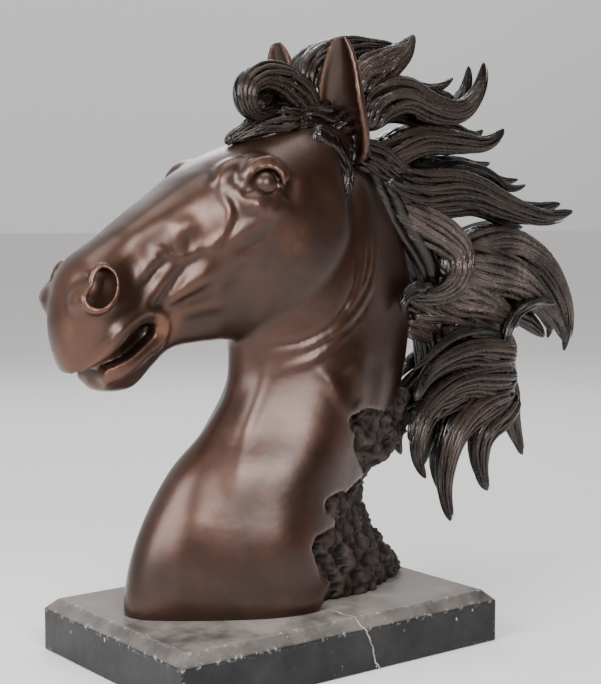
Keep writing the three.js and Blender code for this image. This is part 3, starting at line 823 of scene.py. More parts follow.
    neck_strokes: tuple[Stroke, ...] = (
        Stroke(
            -1.7, 5.0,
            ((56, 306), (54, 290), (51, 272), (43, 257), (31, 242), (17, 232), (1, 225), (-24, 221)), 0.2,
        ),
        Stroke(1.4, 4.0, ((64, 316), (63, 292), (56, 271), (45, 255)), 0.5),
        Stroke(-1.1, 3.4, ((69, 314), (68, 291), (60, 271), (49, 256)), 0.5),
        Stroke(1.6, 5.4, ((73, 317), (72, 293), (65, 275), (57, 263), (47, 252), (32, 240), (12, 229)), 0.5),
        Stroke(-1.3, 3.4, ((78, 315), (76, 291), (69, 273), (54, 256), (35, 239), (17, 228)), 0.5),
        Stroke(1.4, 5.4, ((84, 311), (79, 289), (72, 269), (57, 251), (37, 236), (22, 228), (5, 219)), 0.5),
        Stroke(-1.6, 4.2, ((76, 264), (62, 248), (44, 234), (26, 224), (6, 213)), 0.5),
        Stroke(1.6, 6.0, ((66, 254), (52, 239), (30, 224), (19, 216), (7, 208), (-14, 201)), 0.6),
        Stroke(1.5, 8, ((12, 205), (22, 193), (27, 183), (33, 169), (41, 157)), 0.6),
        Stroke(-1.6, 14, ((38, 200), (46, 184), (52, 168)), 0.4),
        Stroke(1.5, 10, ((-22, 206), (-31, 184), (-42, 163), (-53, 143), (-68, 112)), 0.7),
        Stroke(-1.6, 18, ((-40, 206), (-54, 172), (-70, 132), (-86, 92)), 0.5),
        Stroke(3.4, 46, ((34, 190), (10, 130), (-20, 60)), 0.0),
        Stroke(1.2, 16, ((-92, 96), (-104, 60), (-108, 24)), 0.5),
        Stroke(-1.6, 18, ((76, 210), (68, 168), (58, 150)), 0.4),
    )
    spots: tuple[tuple[float, float, float], ...] = (
        (300, -56, 30), (316, -30, 34), (300, 0, 26), (286, 12, 26), (240, -44, 20), (118, -24, 22),
    )

    def side_cutter(self, name: str, outline: Points, half_depth: float = 150.0) -> bpy.types.Object:
        """Make a slab with this outline in the side view that passes through the whole figure.

        Args:
            name: The cutter's name.
            outline: The outline's corners in x and z.
            half_depth: How far the slab goes to each side.

        Returns:
            The cutter.
        """
        deselect()
        bpy.ops.mesh.primitive_circle_add(vertices=len(outline), radius=1.0, fill_type="NGON")
        cutter = bpy.context.object
        cutter.name = name
        near_side = np.full(len(outline), -half_depth)
        write_points(cutter, np.column_stack([outline[:, 0], near_side, outline[:, 1]]))
        bpy.ops.object.mode_set(mode="EDIT")
        bpy.ops.mesh.select_all(action="SELECT")
        bpy.ops.mesh.extrude_region_move(TRANSFORM_OT_translate={"value": (0.0, 2.0 * half_depth, 0.0)})
        bpy.ops.mesh.select_all(action="SELECT")
        bpy.ops.mesh.quads_convert_to_tris()
        bpy.ops.object.mode_set(mode="OBJECT")
        return face_out(cutter)

    def head_form(self, name: str, slimmer: float = 0.0) -> bpy.types.Object:
        """Pull a ball into the head's plain form.

        Args:
            name: The form's name.
            slimmer: How much slimmer than the head it is, for the inside of the mouth.

        Returns:
            The form, in drawn units.
        """
        piece, turn, share = ball(name, 120, 150)
        table = np.array(self.head_sections, dtype=float)
        s, t, y, _ = sections_to_points(table, np.array(self.head_levels), turn, share)
        if slimmer:
            y = np.sign(y) * np.maximum(np.abs(y) - slimmer, np.minimum(np.abs(y), 1.0))
            s = np.minimum(s, table[-1, 0] - slimmer)
            t = t + slimmer * 0.3 * (t < table[:, 1].mean())
        write_points(piece, HEAD_FRAME.out(np.column_stack([s, t, y])))
        return face_out(piece)

    def neck_form(self) -> bpy.types.Object:
        """Pull a ball into the neck's plain form."""
        piece, turn, share = ball("neck_form", 110, 150)
        table = np.array(self.neck_sections, dtype=float)
        z, x, y, rest = sections_to_points(table, np.array(self.neck_levels), turn, share)
        write_points(piece, np.column_stack([x, y + rest[:, 0], z]))
        return face_out(piece)

    def oval(self, name: str, centre: Points, reach: Points) -> bpy.types.Object:
        """Make an oval in the head's frame.

        Args:
            name: Its name.
            centre: Its centre in the head's frame.
            reach: How far it reaches along s, t and y.

        Returns:
            The oval, in drawn units.
        """
        piece, _, _ = ball(name, 40, 24)
        write_points(piece, HEAD_FRAME.out(read_points(piece) * reach + centre))
        return face_out(piece)

    def cord(self, name: str, path: Points, thick: float, flat: float = 1.0) -> bpy.types.Object:
        """Make a tapered roll along a path in the head's frame, for a lid or a fold.

        Args:
            name: Its name.
            path: The path's corners in the head's frame.
            thick: The roll's radius in the side view.
            flat: Its radius across, as a share of that.

        Returns:
            The roll, in drawn units.
        """
        piece, turn, share = ball(name, 14, 40)
        last = len(path) - 1
        x = share * last
        centre = spline(path, x)
        ahead = spline(path, np.clip(x + 0.05, 0, last)) - spline(path, np.clip(x - 0.05, 0, last))
        side = np.column_stack([-ahead[:, 1], ahead[:, 0], np.zeros(len(ahead))])
        side /= np.maximum(np.linalg.norm(side, axis=1), 1e-6)[:, None]
        size = thick * np.sqrt(np.maximum(0.0, 1.0 - (2.0 * share - 1.0) ** 4))
        angle = math.tau * turn
        out = np.array([0.0, 0.0, 1.0])
        points = centre + side * (size * np.cos(angle))[:, None]
        points = points + out * (size * flat * np.sin(angle))[:, None]
        write_points(piece, HEAD_FRAME.out(points))
        return face_out(piece)

    def ring(self, name: str, path: Points, thick: float) -> bpy.types.Object:
        """Make a closed roll along a path in the head's frame, for a nostril's rim.

        Args:
            name: Its name.
            path: The path's corners in the head's frame; the last leads back to the first.
            thick: The roll's radius.

        Returns:
            The roll, in drawn units.
        """
        deselect()
        tube = 0.25
        bpy.ops.mesh.primitive_torus_add(
            major_segments=64, minor_segments=12, major_radius=1.0, minor_radius=tube
        )
        piece = bpy.context.object
        piece.name = name
        points = read_points(piece)
        x = (np.arctan2(points[:, 1], points[:, 0]) / math.tau) % 1.0 * len(path)
        outwards = (np.hypot(points[:, 0], points[:, 1]) - 1.0) / tube
        upwards = points[:, 2] / tube
        centre = spline(path, x, closed=True)
        ahead = spline(path, x + 0.05, closed=True) - spline(path, x - 0.05, closed=True)
        ahead /= np.linalg.norm(ahead, axis=1)[:, None]
        away = centre - path.mean(axis=0)
        away -= ahead * np.einsum("ij,ij->i", away, ahead)[:, None]
        away /= np.linalg.norm(away, axis=1)[:, None]
        out = np.cross(ahead, away)
        roll = away * outwards[:, None] + out * upwards[:, None]
        write_points(piece, HEAD_FRAME.out(centre + thick * roll))
        return face_out(piece)

    def plug(self, name: str, path: Points, share: float, depth: float) -> bpy.types.Object:
        """Make a rounded plug that fills a closed path in the head's frame.

        Args:
            name: Its name.
            path: The path's corners.
            share: How much of the path's width it fills.
            depth: How deep it goes towards the middle of the head.

        Returns:
            The plug, in drawn units.
        """
        piece, turn, polar = ball(name, 48, 24)
        middle = path.mean(axis=0)
        rim = spline(path, turn * len(path), closed=True) - middle
        angle = math.pi * polar
        inwards = np.array([0.15, 0.0, -np.sign(middle[2])])
        points = middle + rim * (share * np.sin(angle))[:, None] + inwards * (-depth * np.cos(angle))[:, None]
        write_points(piece, HEAD_FRAME.out(points))
        return face_out(piece)

    def mirrored(self, path: tuple[tuple[float, float, float], ...], side: Side) -> Points:
        """Place a path that is given by distances from the middle on one side of the head."""
        return np.array(path, dtype=float) * np.array([1.0, 1.0, side.value])

    def eye_folds(self, side: Side) -> list[bpy.types.Object]:
        """Make the lids and the fold over one eye."""
        return [
            self.cord("upper_lid", self.mirrored(self.upper_lid, side), 2.7, 1.3),
            self.cord("lid_fold", self.mirrored(self.lid_fold, side), 3.3, 1.3),
            self.cord("lower_lid", self.mirrored(self.lower_lid, side), 1.8, 1.2),
        ]

    def ear_form(self, side: Side) -> bpy.types.Object:
        """Make one cupped ear."""
        piece, turn, share = ball("ear_form", 64, 60)
        which = list(Side).index(side)
        base, tip = np.array(self.ear_bases[which], dtype=float), np.array(self.ear_tips[which], dtype=float)
        up = (tip - base) / np.linalg.norm(tip - base)
        opening = np.array(self.ear_openings[which])
        opening = opening - up * (opening @ up)
        opening /= np.linalg.norm(opening)
        sideways = np.cross(up, opening)
        full = np.maximum(np.sin(math.pi * share**0.72), 0.0) ** 0.5
        outer = turn < 0.5
        angle = math.radians(self.ear_wrap_degrees) * np.where(outer, 4.0 * turn - 1.0, 3.0 - 4.0 * turn)
        wall = np.where(outer, 0.0, np.minimum(self.ear_wall, self.ear_half_width * full * 0.4))
        width = (self.ear_half_width * full - wall) * np.sin(angle)
        depth = (self.ear_hollow * full - wall) * np.cos(angle) * 0.7
        lean = -7.0 * np.sin(math.pi * share) ** 2
        points = base + (tip - base) * share[:, None] + sideways * width[:, None]
        points -= opening * (depth + lean)[:, None]
        write_points(piece, points)
        return face_out(piece)

    def carve(self, piece: bpy.types.Object) -> None:
        """Press all strokes into the skin's two sides."""
        points, normals = read_points(piece), read_normals(piece)
        flank = smoothstep(np.abs(normals[:, 1]) * 2.0)
        lift = sum(stroke.strength(HEAD_FRAME.into(points)[:, :2]) for stroke in self.head_strokes)
        lift = lift + sum(stroke.strength(points[:, (0, 2)]) for stroke in self.neck_strokes)
        write_points(piece, points + normals * (lift * flank)[:, None])

    def body_form(self) -> bpy.types.Object:
        """Blend head and neck into one form, press the strokes in and cut the tear and the mouth."""
        forms = [self.head_form("head_form"), self.neck_form()]
        for side in Side:
            mirror = np.array([1.0, 1.0, side.value])
            for centre, reach in self.mounds:
                forms.append(self.oval("mound", np.array(centre) * mirror, np.array(reach)))
        body = self.blend(join("bronze_skin", forms), 14)
        self.carve(body)
        slot_outline = np.array(self.mouth_upper + self.mouth_lower, dtype=float)
        slot = self.side_cutter("mouth_cutter", self.in_side_view(slot_outline))
        cut(slot, self.head_form("mouth_core", self.mouth_depth))
        cut(body, slot)
        cut(body, self.side_cutter("chin_cutter", self.in_side_view(np.array(self.chin, dtype=float))))
        cut(body, self.side_cutter("tear_cutter", np.array(self.tear + self.tear_back, dtype=float)))
        return body

    def blend(self, piece: bpy.types.Object, passes: int) -> bpy.types.Object:
        """Melt overlapping forms into one surface and smooth it this many times."""
        apply_modifier(piece, "REMESH", mode="VOXEL", voxel_size=self.grain, adaptivity=0.0)
        apply_modifier(piece, "SMOOTH", factor=0.5, iterations=passes)
        return piece

    def build(self) -> list[bpy.types.Object]:
        """Build the skin and the eyeballs.

        Returns:
            The skin in one piece, and the two eyes.
        """
        centre, reach = self.chin_pad
        forms = [self.body_form(), self.oval("chin_pad", np.array(centre), np.array(reach))]
        for side in Side:
            forms.append(self.ear_form(side))
            forms.append(self.ring("nostril_rim", self.mirrored(self.nostril_rim, side), self.rim_thick))
            forms.extend(self.eye_folds(side))
        skin = self.blend(join("bronze_skin", forms), 3)
        for side in Side:
            rim = self.mirrored(self.nostril_rim, side)
            cut(skin, self.plug("nostril_cutter", rim, self.nostril_share, self.nostril_depth))
        apply_modifier(skin, "SMOOTH", factor=0.5, iterations=2)
        pieces = [skin]
        for side in Side:
            s, t, y = self.eye
            reach = np.full(3, self.eye_radius)
            name = f"bronze_eye_{side.name.lower()}"
            pieces.append(self.oval(name, np.array([s, t, side.value * y]), reach))
        return pieces

    def wear(self, piece: bpy.types.Object) -> Points:
        """Say how much hands have rubbed each vertex, from 0 to 1."""
        places = HEAD_FRAME.into(read_points(piece))[:, :2]
        rubbed = [bump(np.hypot(places[:, 0] - s, places[:, 1] - t) / reach) for s, t, reach in self.spots]
        return np.clip(sum(rubbed), 0.0, 1.0)

    def in_side_view(self, outline: Points) -> Points:
        """Turn an outline in the head's side view into one in the figure's."""
        return HEAD_FRAME.out(np.column_stack([outline, np.zeros(len(outline))]))[:, (0, 2)]


@dataclass
class Core:
    """The rough casting that shows behind the tear, like rock."""

    sections: tuple[tuple[float, ...], ...] = (
        (-24, 20, 22, 0, 0, 0, 6),
        (-22, -60, 138, 40, 50, 32, 6),
        (0, -60, 145, 44, 54, 36, 6),
        (16, -58, 142, 42, 52, 36, 6),
        (32, -56, 126, 40, 49, 34, 6),
        (50, -50, 108, 38, 46, 32, 5),
        (72, -40, 100, 36, 42, 30, 4),
        (92, -30, 96, 34, 39, 28, 3),
        (108, -20, 110, 32, 38, 28, 2),
        (122, -10, 138, 32, 37, 28, 1),
        (146, 0, 150, 30, 36, 26, 0),
        (170, 20, 146, 22, 30, 20, 0),
        (178, 70, 72, 0, 0, 0, 0),
    )
    levels: tuple[float, ...] = (0.12, 0.45, 0.8)
    lump: float = 13.0
    lump_depth: float = 5.0
    crag: float = 6.0
    crag_depth: float = 2.6

    def build(self) -> bpy.types.Object:
        """Build the core with its lumps and crags."""
        piece, turn, share = ball("bronze_rough_core", 190, 170)
        table = np.array(self.sections, dtype=float)
        z, x, y, rest = sections_to_points(table, np.array(self.levels), turn, share)
        write_points(piece, np.column_stack([x, y + rest[:, 0], z]))
        face_out(piece)
        points, normals = read_points(piece), read_normals(piece)
        height = self.lump_depth * noise(points / self.lump)
        height += self.crag_depth * (1.0 - 2.0 * np.abs(noise(points / self.crag, 3.0)))
        height += 0.9 * noise(points / 2.7, 5.0)
        write_points(piece, points + normals * height[:, None])
        return piece


@dataclass(frozen=True)
class Lock:
    """One lock of hair in the side view: where it starts, how it bends and how thick it is."""

    name: str
    root: tuple[float, float, float]
    length: float
    headings: tuple[float, ...]
    drift: float
    width: float
    depth: float
    echo: float = 0.0


@dataclass
class Mane:
    """All locks of the mane and the forelock."""

    sight_line: float = 0.77
    root_size: float = 0.9
    swell_at: float = 0.25
    tip_size: float = 0.2
    round_end: float = 0.08
    groove_depth: float = 0.26
    lane_width: float = 4.6
    upper: tuple[Lock, ...] = (
        Lock("crown_sweep", (40, -2, 425), 139, (124, 34, 3, 8), -2, 28, 34),
        Lock("crown_flick", (83, -8, 436), 93, (68, 25, 28, 73), -2, 40, 26, 26),
        Lock("crown_mass", (56, 2, 408), 112, (74, 56, 14, 16), 4, 46, 42),
        Lock("upper_small", (100, -4, 434), 122, (40, 0, -1, 38), 8, 20, 20),
        Lock("upper_great", (92, -14, 404), 193, (86, 22, -20, -4, 47, 91), -2, 35, 26, 18),
        Lock("upper_mass", (95, 2, 408), 140, (72, 20, -8, -5), 4, 34, 38),
        Lock("upper_under", (104, 2, 409), 158, (54, -12, -14, -4), 4, 28, 26),
        Lock("middle_flick", (93, -10, 379), 181, (10, 22, -2, -3, 46), -4, 32, 24, 30),
        Lock("middle_mass", (96, 2, 366), 176, (-8, 6, -4, -12), 2, 46, 38),
        Lock("middle_barb", (163, 2, 380), 103, (-13, 5, 1, 5), 2, 20, 22),
        Lock("middle_hook", (148, -4, 368), 167, (-15, 18, -5, -24, 20), 4, 22, 22, 20),
        Lock("middle_long", (113, -16, 367), 262, (-26, 5, -18, -11, 16), 6, 38, 24, 30),
        Lock("middle_under", (121, -4, 352), 194, (-30, -1, 2, -20, -11), 6, 26, 30),
        Lock("middle_root", (78, -16, 386), 104, (-6, -25, -25, -6), 2, 30, 24, 34),
    )
    back: tuple[Lock, ...] = (
        Lock("low_roll", (117, -4, 341), 194, (-26, -22, -24, -37, -112, -160, -178, -182), -34, 38, 26, 34),
        Lock("low_roll_tip", (155, -32, 262), 48, (173, 176, 222, 290), -4, 19, 16),
        Lock("back_outer", (179, -4, 284), 260, (14, 14, -22, -56, -108), -2, 40, 26, 24),
        Lock("back_middle", (181, -12, 286), 208, (-6, -8, -34, -61), 2, 50, 26, 26),
        Lock("back_mass", (140, 6, 272), 222, (-2, -8, -20, -46), 0, 54, 36),
        Lock("back_inner", (177, -8, 268), 128, (-26, -10, -23, -31), 0, 44, 28),
        Lock("low_bridge", (140, 4, 254), 176, (-20, -14, -15, -50), -2, 60, 36),
        Lock("crest_mass", (84, 0, 376), 320, (-36, -56, -92, -100), 0, 56, 46),
    )
    fan: tuple[Lock, ...] = (
        Lock("fold_leaf", (333, -14, 245), 114, (175, 178, 203, 236, 276, 307), -8, 15, 28),
        Lock("fan_rim", (261, -16, 214), 138, (170, 171, 180, 201, 211, 199), -22, 15, 16),
        Lock("fan_top", (282, -14, 196), 160, (178, 173, 198, 238), -20, 32, 26, 28),
        Lock("fan_middle", (285, -12, 174), 170, (-180, -183, -154, -122), -18, 38, 28, 28),
        Lock("fan_mass", (289, 2, 182), 170, (178, 184, 196, 214), -6, 66, 32),
        Lock("fan_front_tip", (222, -16, 169), 132, (-168, -166, -114, -61), -18, 30, 22, 30),
        Lock("fan_long_tip", (281, -14, 160), 177, (-180, -152, -105, -63), -8, 37, 24, 26),
        Lock("fan_middle_tip", (286, -10, 160), 117, (-126, -148, -90, -50), -2, 34, 22, 22),
        Lock("fan_back_tip", (278, -4, 174), 88, (-62, -80, -64, -61), 2, 24, 20),
    )
    forelock: tuple[Lock, ...] = (
        Lock("forelock_ring", (40, -6, 412), 146, (122, 133, 150, 174, 212, 284, 368, 400), -10, 29, 30, 14),
        Lock("forelock_heart", (34, 10, 424), 52, (168, 176, 190, 214), 2, 40, 24),
        Lock("forelock_mass", (78, -4, 398), 92, (150, 160, 176, 190), 0, 46, 60),
        Lock("forelock_fall", (18, -6, 410), 72, (-172, -172, -158, -146), 2, 31, 40),
        Lock("temple_fan", (22, -10, 416), 76, (-10, -20, -36, -44), -18, 25, 18),
        Lock("temple_fan_low", (4, -14, 412), 68, (-12, -18, -28, -34), -20, 20, 14),
        Lock("temple_strand", (16, -36, 402), 80, (-30, -37, -64, -108, -124), -12, 21, 13),
    )

    def centre_line(self, lock: Lock, share: Points) -> tuple[Points, Points]:
        """Follow a lock's headings from its root.

        Args:
            lock: The lock.
            share: Shares of its length, one for each place wanted.

        Returns:
            The places on its centre line, and the directions across it in the side view.
        """
        fine = 160
        headings = np.array(lock.headings, dtype=float)
        x = (np.arange(fine) + 0.5) / fine * (len(headings) - 1)
        k = np.minimum(np.floor(x).astype(int), len(headings) - 2)
        f = (smoothstep(x - k) + x - k) / 2.0
        angle = np.radians(headings[k] + (headings[k + 1] - headings[k]) * f)
        steps = np.column_stack([np.cos(angle), np.full(fine, lock.drift / lock.length), np.sin(angle)])
        line = np.vstack([np.zeros(3), np.cumsum(steps * lock.length / fine, axis=0)]) + np.array(lock.root)
        at = np.clip(share, 0.0, 1.0) * fine
        places = np.column_stack([np.interp(at, np.arange(fine + 1), line[:, c]) for c in range(3)])
        turn = np.interp(at, np.arange(fine) + 0.5, angle)
        return places, np.column_stack([-np.sin(turn), np.zeros(len(turn)), np.cos(turn)])

    def size_along(self, share: Points) -> Points:
        """Give a lock's thickness next to its full width, at shares of its length."""
        rise = np.sin(np.minimum(share / self.swell_at, 1.0) * math.pi / 2)
        swell = self.root_size + (1 - self.root_size) * rise
        fall = np.maximum(0.0, (share - self.swell_at) / (1 - self.swell_at)) ** 1.3
        end = np.clip(np.minimum(share, 1.0 - share) / self.round_end, 0.0, 1.0)
        return swell * (1.0 - (1.0 - self.tip_size) * fall) * np.sqrt(1.0 - (1.0 - end) ** 2)

    def shape_lock(self, lock: Lock, seed: int, around: int = 56, along: int = 60) -> bpy.types.Object:
        """Pull a ball into one lock with twisting ridges.

        Args:
            lock: The lock.
            seed: Another seed gives other ridges.
            around: How many segments go round it.
            along: How many rings there are from root to tip.

        Returns:
            The lock, in drawn units.
        """
        draw = np.random.default_rng(seed)
        piece, turn, share = ball(lock.name, around, along)
        spread = (share + (1.0 - np.cos(math.pi * share)) / 2.0) / 2.0
        centre, across = self.centre_line(lock, spread)
        size = self.size_along(spread)
        phase, twist = draw.uniform(0.0, 1.0), draw.uniform(-0.35, 0.35)
        ridges = int(np.clip(round(lock.width / 3.6), 4, 11))
        wander = 0.10 * np.sin(math.tau * (1.2 * spread + phase))
        wander = wander + 0.05 * np.sin(math.tau * (2.7 * spread + 3 * phase))
        course = ridges * (turn + wander * 0.5) + twist * spread * ridges + phase
        broad = np.abs(np.sin(math.pi * course)) ** 0.8
        fine = np.abs(np.sin(math.pi * (ridges * 2 * (turn + wander) - twist * spread + 2 * phase)))
        groove = self.groove_depth * (1.0 - broad) + 0.04 * (1.0 - fine)
        radius = size * (1.0 - groove * smoothstep(spread / 0.08))
        angle = math.tau * turn
        sway = lock.width * 0.05 * np.sin(math.tau * (1.6 * spread + phase)) * spread
        points = centre + across * (lock.width / 2 * radius * np.cos(angle) + sway)[:, None]
        points[:, 1] += lock.depth / 2 * radius * np.sin(angle)
        write_points(piece, points)
        # The strand value is high on ridge crests and low in grooves; the hair finish paints shade in the
        # grooves and a highlight on the crests from it.
        write_values(piece, "strand", 0.55 * broad * fine)
        return face_out(piece)

    def echo_of(self, lock: Lock) -> Lock:
        """Make the companion of a lock that lies farther back, on the horse's right."""
        x, y, z = lock.root
        headings = tuple(h + (5 if i % 2 else -5) for i, h in enumerate(lock.headings))
        root = (x + self.sight_line * lock.echo, y + lock.echo, z + 4)
        name, length = lock.name + "_far", lock.length * 0.92
        return Lock(name, root, length, headings, -lock.drift, lock.width, lock.depth)

    def strands_of(self, lock: Lock, seed: int) -> list[bpy.types.Object]:
        """Lay thinner strands over both faces of a broad lock; they all run together at its tip.

        Args:
            lock: The lock.
            seed: Another seed gives other strands.

        Returns:
            The strands, in drawn units.
        """
        draw = np.random.default_rng(seed)
        count = int(np.clip(round(lock.width / self.lane_width), 6, 9))
        lanes = [(-1, lane) for lane in np.linspace(-0.86, 0.86, count)]
        lanes += [(1, lane) for lane in np.linspace(-0.7, 0.7, count // 2)]
        return [self.strand_on(lock, face, lane + draw.uniform(-0.06, 0.06), draw) for face, lane in lanes]

    def strand_on(self, lock: Lock, face: int, lane: float, draw: np.random.Generator) -> bpy.types.Object:
        """Lay one strand along a lane of a lock's face.

        Args:
            lock: The lock.
            face: -1 for the face towards -Y, 1 for the other.
            lane: Where the strand lies across the lock, from -1 to 1.
            draw: Where the strand's own small differences come from.

        Returns:
            The strand, in drawn units.
        """
        piece, turn, share = ball(f"{lock.name}_strand", 10, 44)
        girth = draw.uniform(0.05, 0.115)
        start, stop = draw.uniform(0.0, 0.12), draw.uniform(0.84, 1.0)
        place = start + (stop - start) * share
        centre, across = self.centre_line(lock, place)
        size = self.size_along(place)
        wave = np.sin(math.tau * (draw.uniform(0.8, 1.7) * place + draw.uniform(0.0, 1.0)))
        inside = 1.0 - 2.0 * girth
        lane = np.clip(lane + draw.uniform(0.08, 0.20) * wave * (1 - 0.7 * place), -inside, inside)
        round_face = np.sqrt(1.0 - lane**2)
        centre = centre + across * (lane * size * lock.width / 2)[:, None]
        centre[:, 1] += face * round_face * size * lock.depth / 2 * 0.92
        end = np.clip(np.minimum(share, 1.0 - share) / 0.14, 0.0, 1.0)
        thick = lock.width * girth * np.maximum(size, 0.3) * np.sqrt(1.0 - (1.0 - end) ** 2)
        angle = math.tau * turn
        points = centre + across * (thick * np.cos(angle))[:, None]
        points[:, 1] += thick * np.sin(angle)
        write_points(piece, points)
        # Higher on the strand's side that faces out from its lock, lower on the side facing the lock: the
        # hair finish paints light and shade from it.
        write_values(piece, "strand", 0.55 + 0.45 * face * np.sin(angle))
        return face_out(piece)

    def build_group(self, name: str, locks: tuple[Lock, ...], seed: int) -> bpy.types.Object:
        """Build one group of locks as one piece.

        Args:
            name: The piece's name.
            locks: Its locks.
            seed: Where its random draws start.

        Returns:
            The piece, in drawn units.
        """
        made = []
        for index, lock in enumerate(locks):
            made.append(self.shape_lock(lock, seed + index))
            if lock.echo:
                made.append(self.shape_lock(self.echo_of(lock), seed + 100 + index, 32, 44))
            if lock.width >= 24 and not lock.name.endswith("mass"):
                made.extend(self.strands_of(lock, seed + 200 + index))
        return join(name, made)

    def build(self) -> list[bpy.types.Object]:
        """Build the mane in three groups, and the forelock."""
        return [
            self.build_group("bronze_mane_upper", self.upper, 10),
            self.build_group(BACK_OF_MANE, self.back, 1010),
            self.build_group("bronze_mane_fan", self.fan, 1510),
            self.build_group("bronze_forelock", self.forelock, 2010),
        ]


@dataclass
class Bronze:
    """The whole casting."""

    skin: Skin = field(default_factory=Skin)
    core: Core = field(default_factory=Core)
    mane: Mane = field(default_factory=Mane)

    def cut_flat(self, piece: bpy.types.Object) -> None:
        """Cut a piece off flat at the plinth's top."""
        pick(piece)
        bpy.ops.object.mode_set(mode="EDIT")
        bpy.ops.mesh.select_all(action="SELECT")
        bpy.ops.mesh.bisect(plane_co=(0, 0, 0.0), plane_no=(0, 0, 1), use_fill=True, clear_inner=True)
        bpy.ops.object.mode_set(mode="OBJECT")

    def finish(self, piece: bpy.types.Object, material: bpy.types.Material, passes: int) -> None:
        """Bring a drawn piece to its place, dress it and tie it to the frame.

        Args:
            piece: The piece, in drawn units.
            material: Its finish.
            passes: How far around its relief is measured.
        """
        write_values(piece, "relief", relief_of(piece, passes))
        write_points(piece, FIGURE.in_metres(read_points(piece)))
        shade_smooth(piece)
        piece.data.materials.clear()
        piece.data.materials.append(material)
        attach(piece, BODY)
        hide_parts(BRONZE_NODE)
        log.info("%s: %d faces", piece.name, len(piece.data.polygons))

    def build(self) -> None:
        """Build and dress the casting."""
        polished = PolishedSkin().material()
        eye_finish = PolishedSkin(
            "rubbed_eye_bronze", brown=(0.024, 0.0095, 0.0050), clouded=(0.044, 0.0175, 0.0088)
        ).material()
        skin, *eyes = self.skin.build()
        core = self.core.build()
        for piece in (skin, *eyes):
            write_values(piece, "wear", self.skin.wear(piece))
        for piece in (skin, core):
            self.cut_flat(piece)
        self.finish(skin, polished, 14)
        for eye in eyes:
            self.finish(eye, eye_finish, 2)
        self.finish(core, RoughCast().material(), 10)
        hair = TooledHair().material()
        # A paler copy of the hair finish for the back of the mane: its brighter ridges are a painted
        # highlight that lights that group.
        pale = TooledHair("painted_light_tooled_bronze", rubbed=(0.30, 0.225, 0.195), rub_and_sheen_share=0.95).material()
        for piece in self.mane.build():
            self.finish(piece, pale if piece.name == BACK_OF_MANE else hair, 6)


@dataclass
class Plinth:
    """The marble block under the casting."""

    bevel: float = 0.009
    edge_wear: float = 0.0007
    edge_band: float = 0.005
    wide_face: float = 0.006
    low: Vector = field(default_factory=lambda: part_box(PLINTH_NODE)[0])
    high: Vector = field(default_factory=lambda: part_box(PLINTH_NODE)[1])

    def build(self) -> None:
        """Build the block, chamfer its top edges, wear all its edges and dress it."""
        deselect()
        bpy.ops.mesh.primitive_cube_add(size=1.0)
        block = bpy.context.object
        block.name = "marble_block"
        size = np.array(self.high - self.low)
        middle = np.array(self.high + self.low) / 2
        write_points(block, read_points(block) * size + middle)
        bpy.ops.object.mode_set(mode="EDIT")
        bpy.ops.mesh.select_all(action="DESELECT")
        bpy.ops.object.mode_set(mode="OBJECT")
        for edge in block.data.edges:
            ends = [block.data.vertices[i].co for i in edge.vertices]
            edge.select = all(abs(end.z - self.high.z) < 1e-6 for end in ends)
        bpy.ops.object.mode_set(mode="EDIT")
        bpy.ops.mesh.bevel(offset=self.bevel, offset_type="OFFSET", segments=1, affect="EDGES")
        bpy.ops.object.mode_set(mode="OBJECT")
        apply_modifier(block, "BEVEL", width=self.edge_wear, segments=2, limit_method="ANGLE")
        self.grind(block)
        write_values(block, "edge", self.edges_of(block))
        pick(block)
        bpy.ops.object.shade_smooth_by_angle(angle=math.radians(30))
        block.data.materials.append(BlackMarble().material())
        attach(block, BODY)
        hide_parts(PLINTH_NODE)
        log.info("%s: %d faces", block.name, len(block.data.polygons))

    def grind(self, block: bpy.types.Object) -> None:
        """Give each wide face a band along its edges and divide all faces."""
        pick(block)
        bpy.ops.object.mode_set(mode="EDIT")
        bpy.ops.mesh.select_all(action="DESELECT")
        bpy.ops.object.mode_set(mode="OBJECT")
        for face in block.data.polygons:
            face.select = face.area > self.wide_face
        bpy.ops.object.mode_set(mode="EDIT")
        bpy.ops.mesh.inset(thickness=self.edge_band, use_individual=True)
        bpy.ops.mesh.select_all(action="SELECT")
        bpy.ops.mesh.subdivide(number_cuts=7)
        bpy.ops.object.mode_set(mode="OBJECT")

    def edges_of(self, block: bpy.types.Object) -> Points:
        """Mark how near each vertex is to an edge of the block's top or chamfer."""
        points = read_points(block)
        half = np.array(self.high - self.low)[:2] / 2
        gap = half - np.abs(points[:, :2])
        nearest = gap.min(axis=1)
        drop = self.high.z - points[:, 2]
        outer = np.hypot(nearest, drop - self.bevel)
        inner = np.hypot(nearest - self.bevel, drop)
        corner = np.hypot(gap[:, 0], gap[:, 1])
        near = np.minimum(np.minimum(outer, inner), corner)
        return 1.0 - smoothstep(near / 0.004)


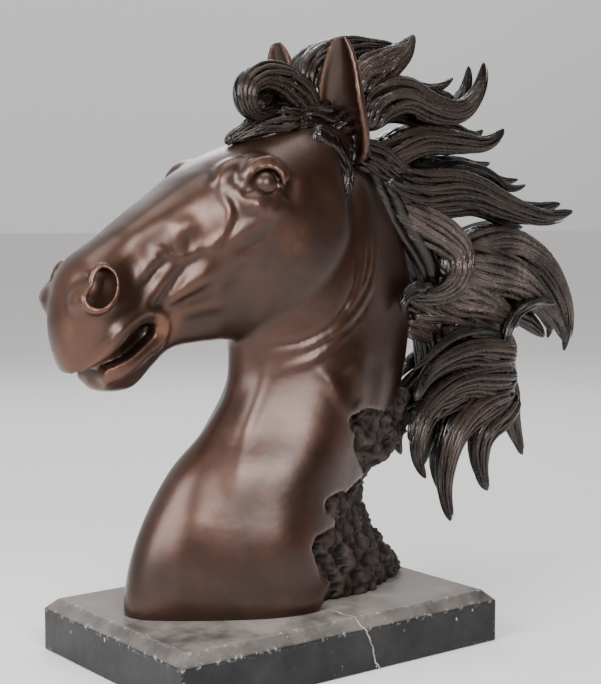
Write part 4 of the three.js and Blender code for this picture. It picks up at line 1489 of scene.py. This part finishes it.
@dataclass
class Studio:
    """The pale floor, the soft lights and the camera."""

    eye: Vector = field(default_factory=lambda: Vector((-0.7396, -1.0055, 0.3738)))
    aim: Vector = field(default_factory=lambda: Vector((0.0311, 0.0, 0.265)))
    lens: float = 76.3

    def floor(self) -> None:
        """Lay a wide pale floor."""
        deselect()
        bpy.ops.mesh.primitive_plane_add(size=60.0, location=(0, 0, -0.0005))
        ground = bpy.context.object
        ground.name = "studio_floor"
        n = Nodes("pale_floor")
        n.link(n.mixed(n.noise(3.0), (0.80, 0.79, 0.785), (0.84, 0.83, 0.825)), n.shader.inputs["Base Color"])
        n.plain(roughness=0.85)
        ground.data.materials.append(n.material)

    def lamp(self, name: str, place: tuple[float, float, float], size: float, power: float,
             colour: tuple[float, float, float] = (1.0, 1.0, 1.0)) -> None:
        """Hang one soft square light that faces the bronze.

        Args:
            name: The light's name.
            place: Where it hangs.
            size: Its side.
            power: Its power in watts.
            colour: Its colour.
        """
        data = bpy.data.lights.new(name, "AREA")
        data.size = size
        data.energy = power
        data.color = colour
        lamp = bpy.data.objects.new(name, data)
        bpy.context.scene.collection.objects.link(lamp)
        lamp.location = place
        lamp.visible_camera = False
        lamp.rotation_euler = (self.aim - Vector(place)).to_track_quat("-Z", "Y").to_euler()

    def room(self) -> bpy.types.World:
        """Make the surroundings: pale behind the bronze and above it, dim in front of it."""
        world = bpy.data.worlds.new("pale_room")
        world.use_nodes = True
        tree = world.node_tree
        back = tree.nodes["Background"]
        place = tree.nodes.new("ShaderNodeTexCoord").outputs["Object"]
        shares = []
        behind = ((-0.35, 0.80, 0.49), -0.60, 0.5, 0.08)
        above = ((0.0, 0.0, 1.0), -0.1, 0.4, 0.80)
        for direction, low, high, dim in (behind, above):
            along = tree.nodes.new("ShaderNodeVectorMath")
            along.operation = "DOT_PRODUCT"
            along.inputs[1].default_value = direction
            tree.links.new(place, along.inputs[0])
            share = tree.nodes.new("ShaderNodeMapRange")
            share.interpolation_type = "SMOOTHSTEP"
            for key, number in zip(("From Min", "From Max", "To Min"), (low, high, dim)):
                share.inputs[key].default_value = number
            tree.links.new(along.outputs["Value"], share.inputs["Value"])
            shares.append(share.outputs["Result"])
        both = tree.nodes.new("ShaderNodeMath")
        both.operation = "MULTIPLY"
        for share, socket in zip(shares, both.inputs):
            tree.links.new(share, socket)
        tree.links.new(both.outputs["Value"], back.inputs["Strength"])
        back.inputs["Color"].default_value = (0.86, 0.845, 0.84, 1.0)
        return world

    def build(self) -> None:
        """Set up the floor, lights, surroundings and camera."""
        self.floor()
        self.lamp("window_front", (-0.34, -0.80, 0.62), 0.36, 8.5, (1.0, 0.985, 0.97))
        self.lamp("sky_soft", (0.0, -0.2, 2.5), 1.6, 26.0)
        self.lamp("window_left", (-1.8, -0.45, 1.0), 1.1, 42.0)
        self.lamp("back_rim", (0.9, 1.5, 1.5), 1.0, 14.0)
        bpy.context.scene.world = self.room()
        data = bpy.data.cameras.new("camera")
        data.lens = self.lens
        data.clip_start = 0.01
        camera = bpy.data.objects.new("camera", data)
        bpy.context.scene.collection.objects.link(camera)
        camera.location = self.eye
        camera.rotation_euler = (self.aim - self.eye).to_track_quat("-Z", "Y").to_euler()
        bpy.context.scene.camera = camera


def main() -> None:
    """Build the whole piece and its studio."""
    logging.basicConfig(level=logging.INFO, format="%(message)s")
    Studio().build()
    Plinth().build()
    Bronze().build()


if __name__ == "__main__":
    main()
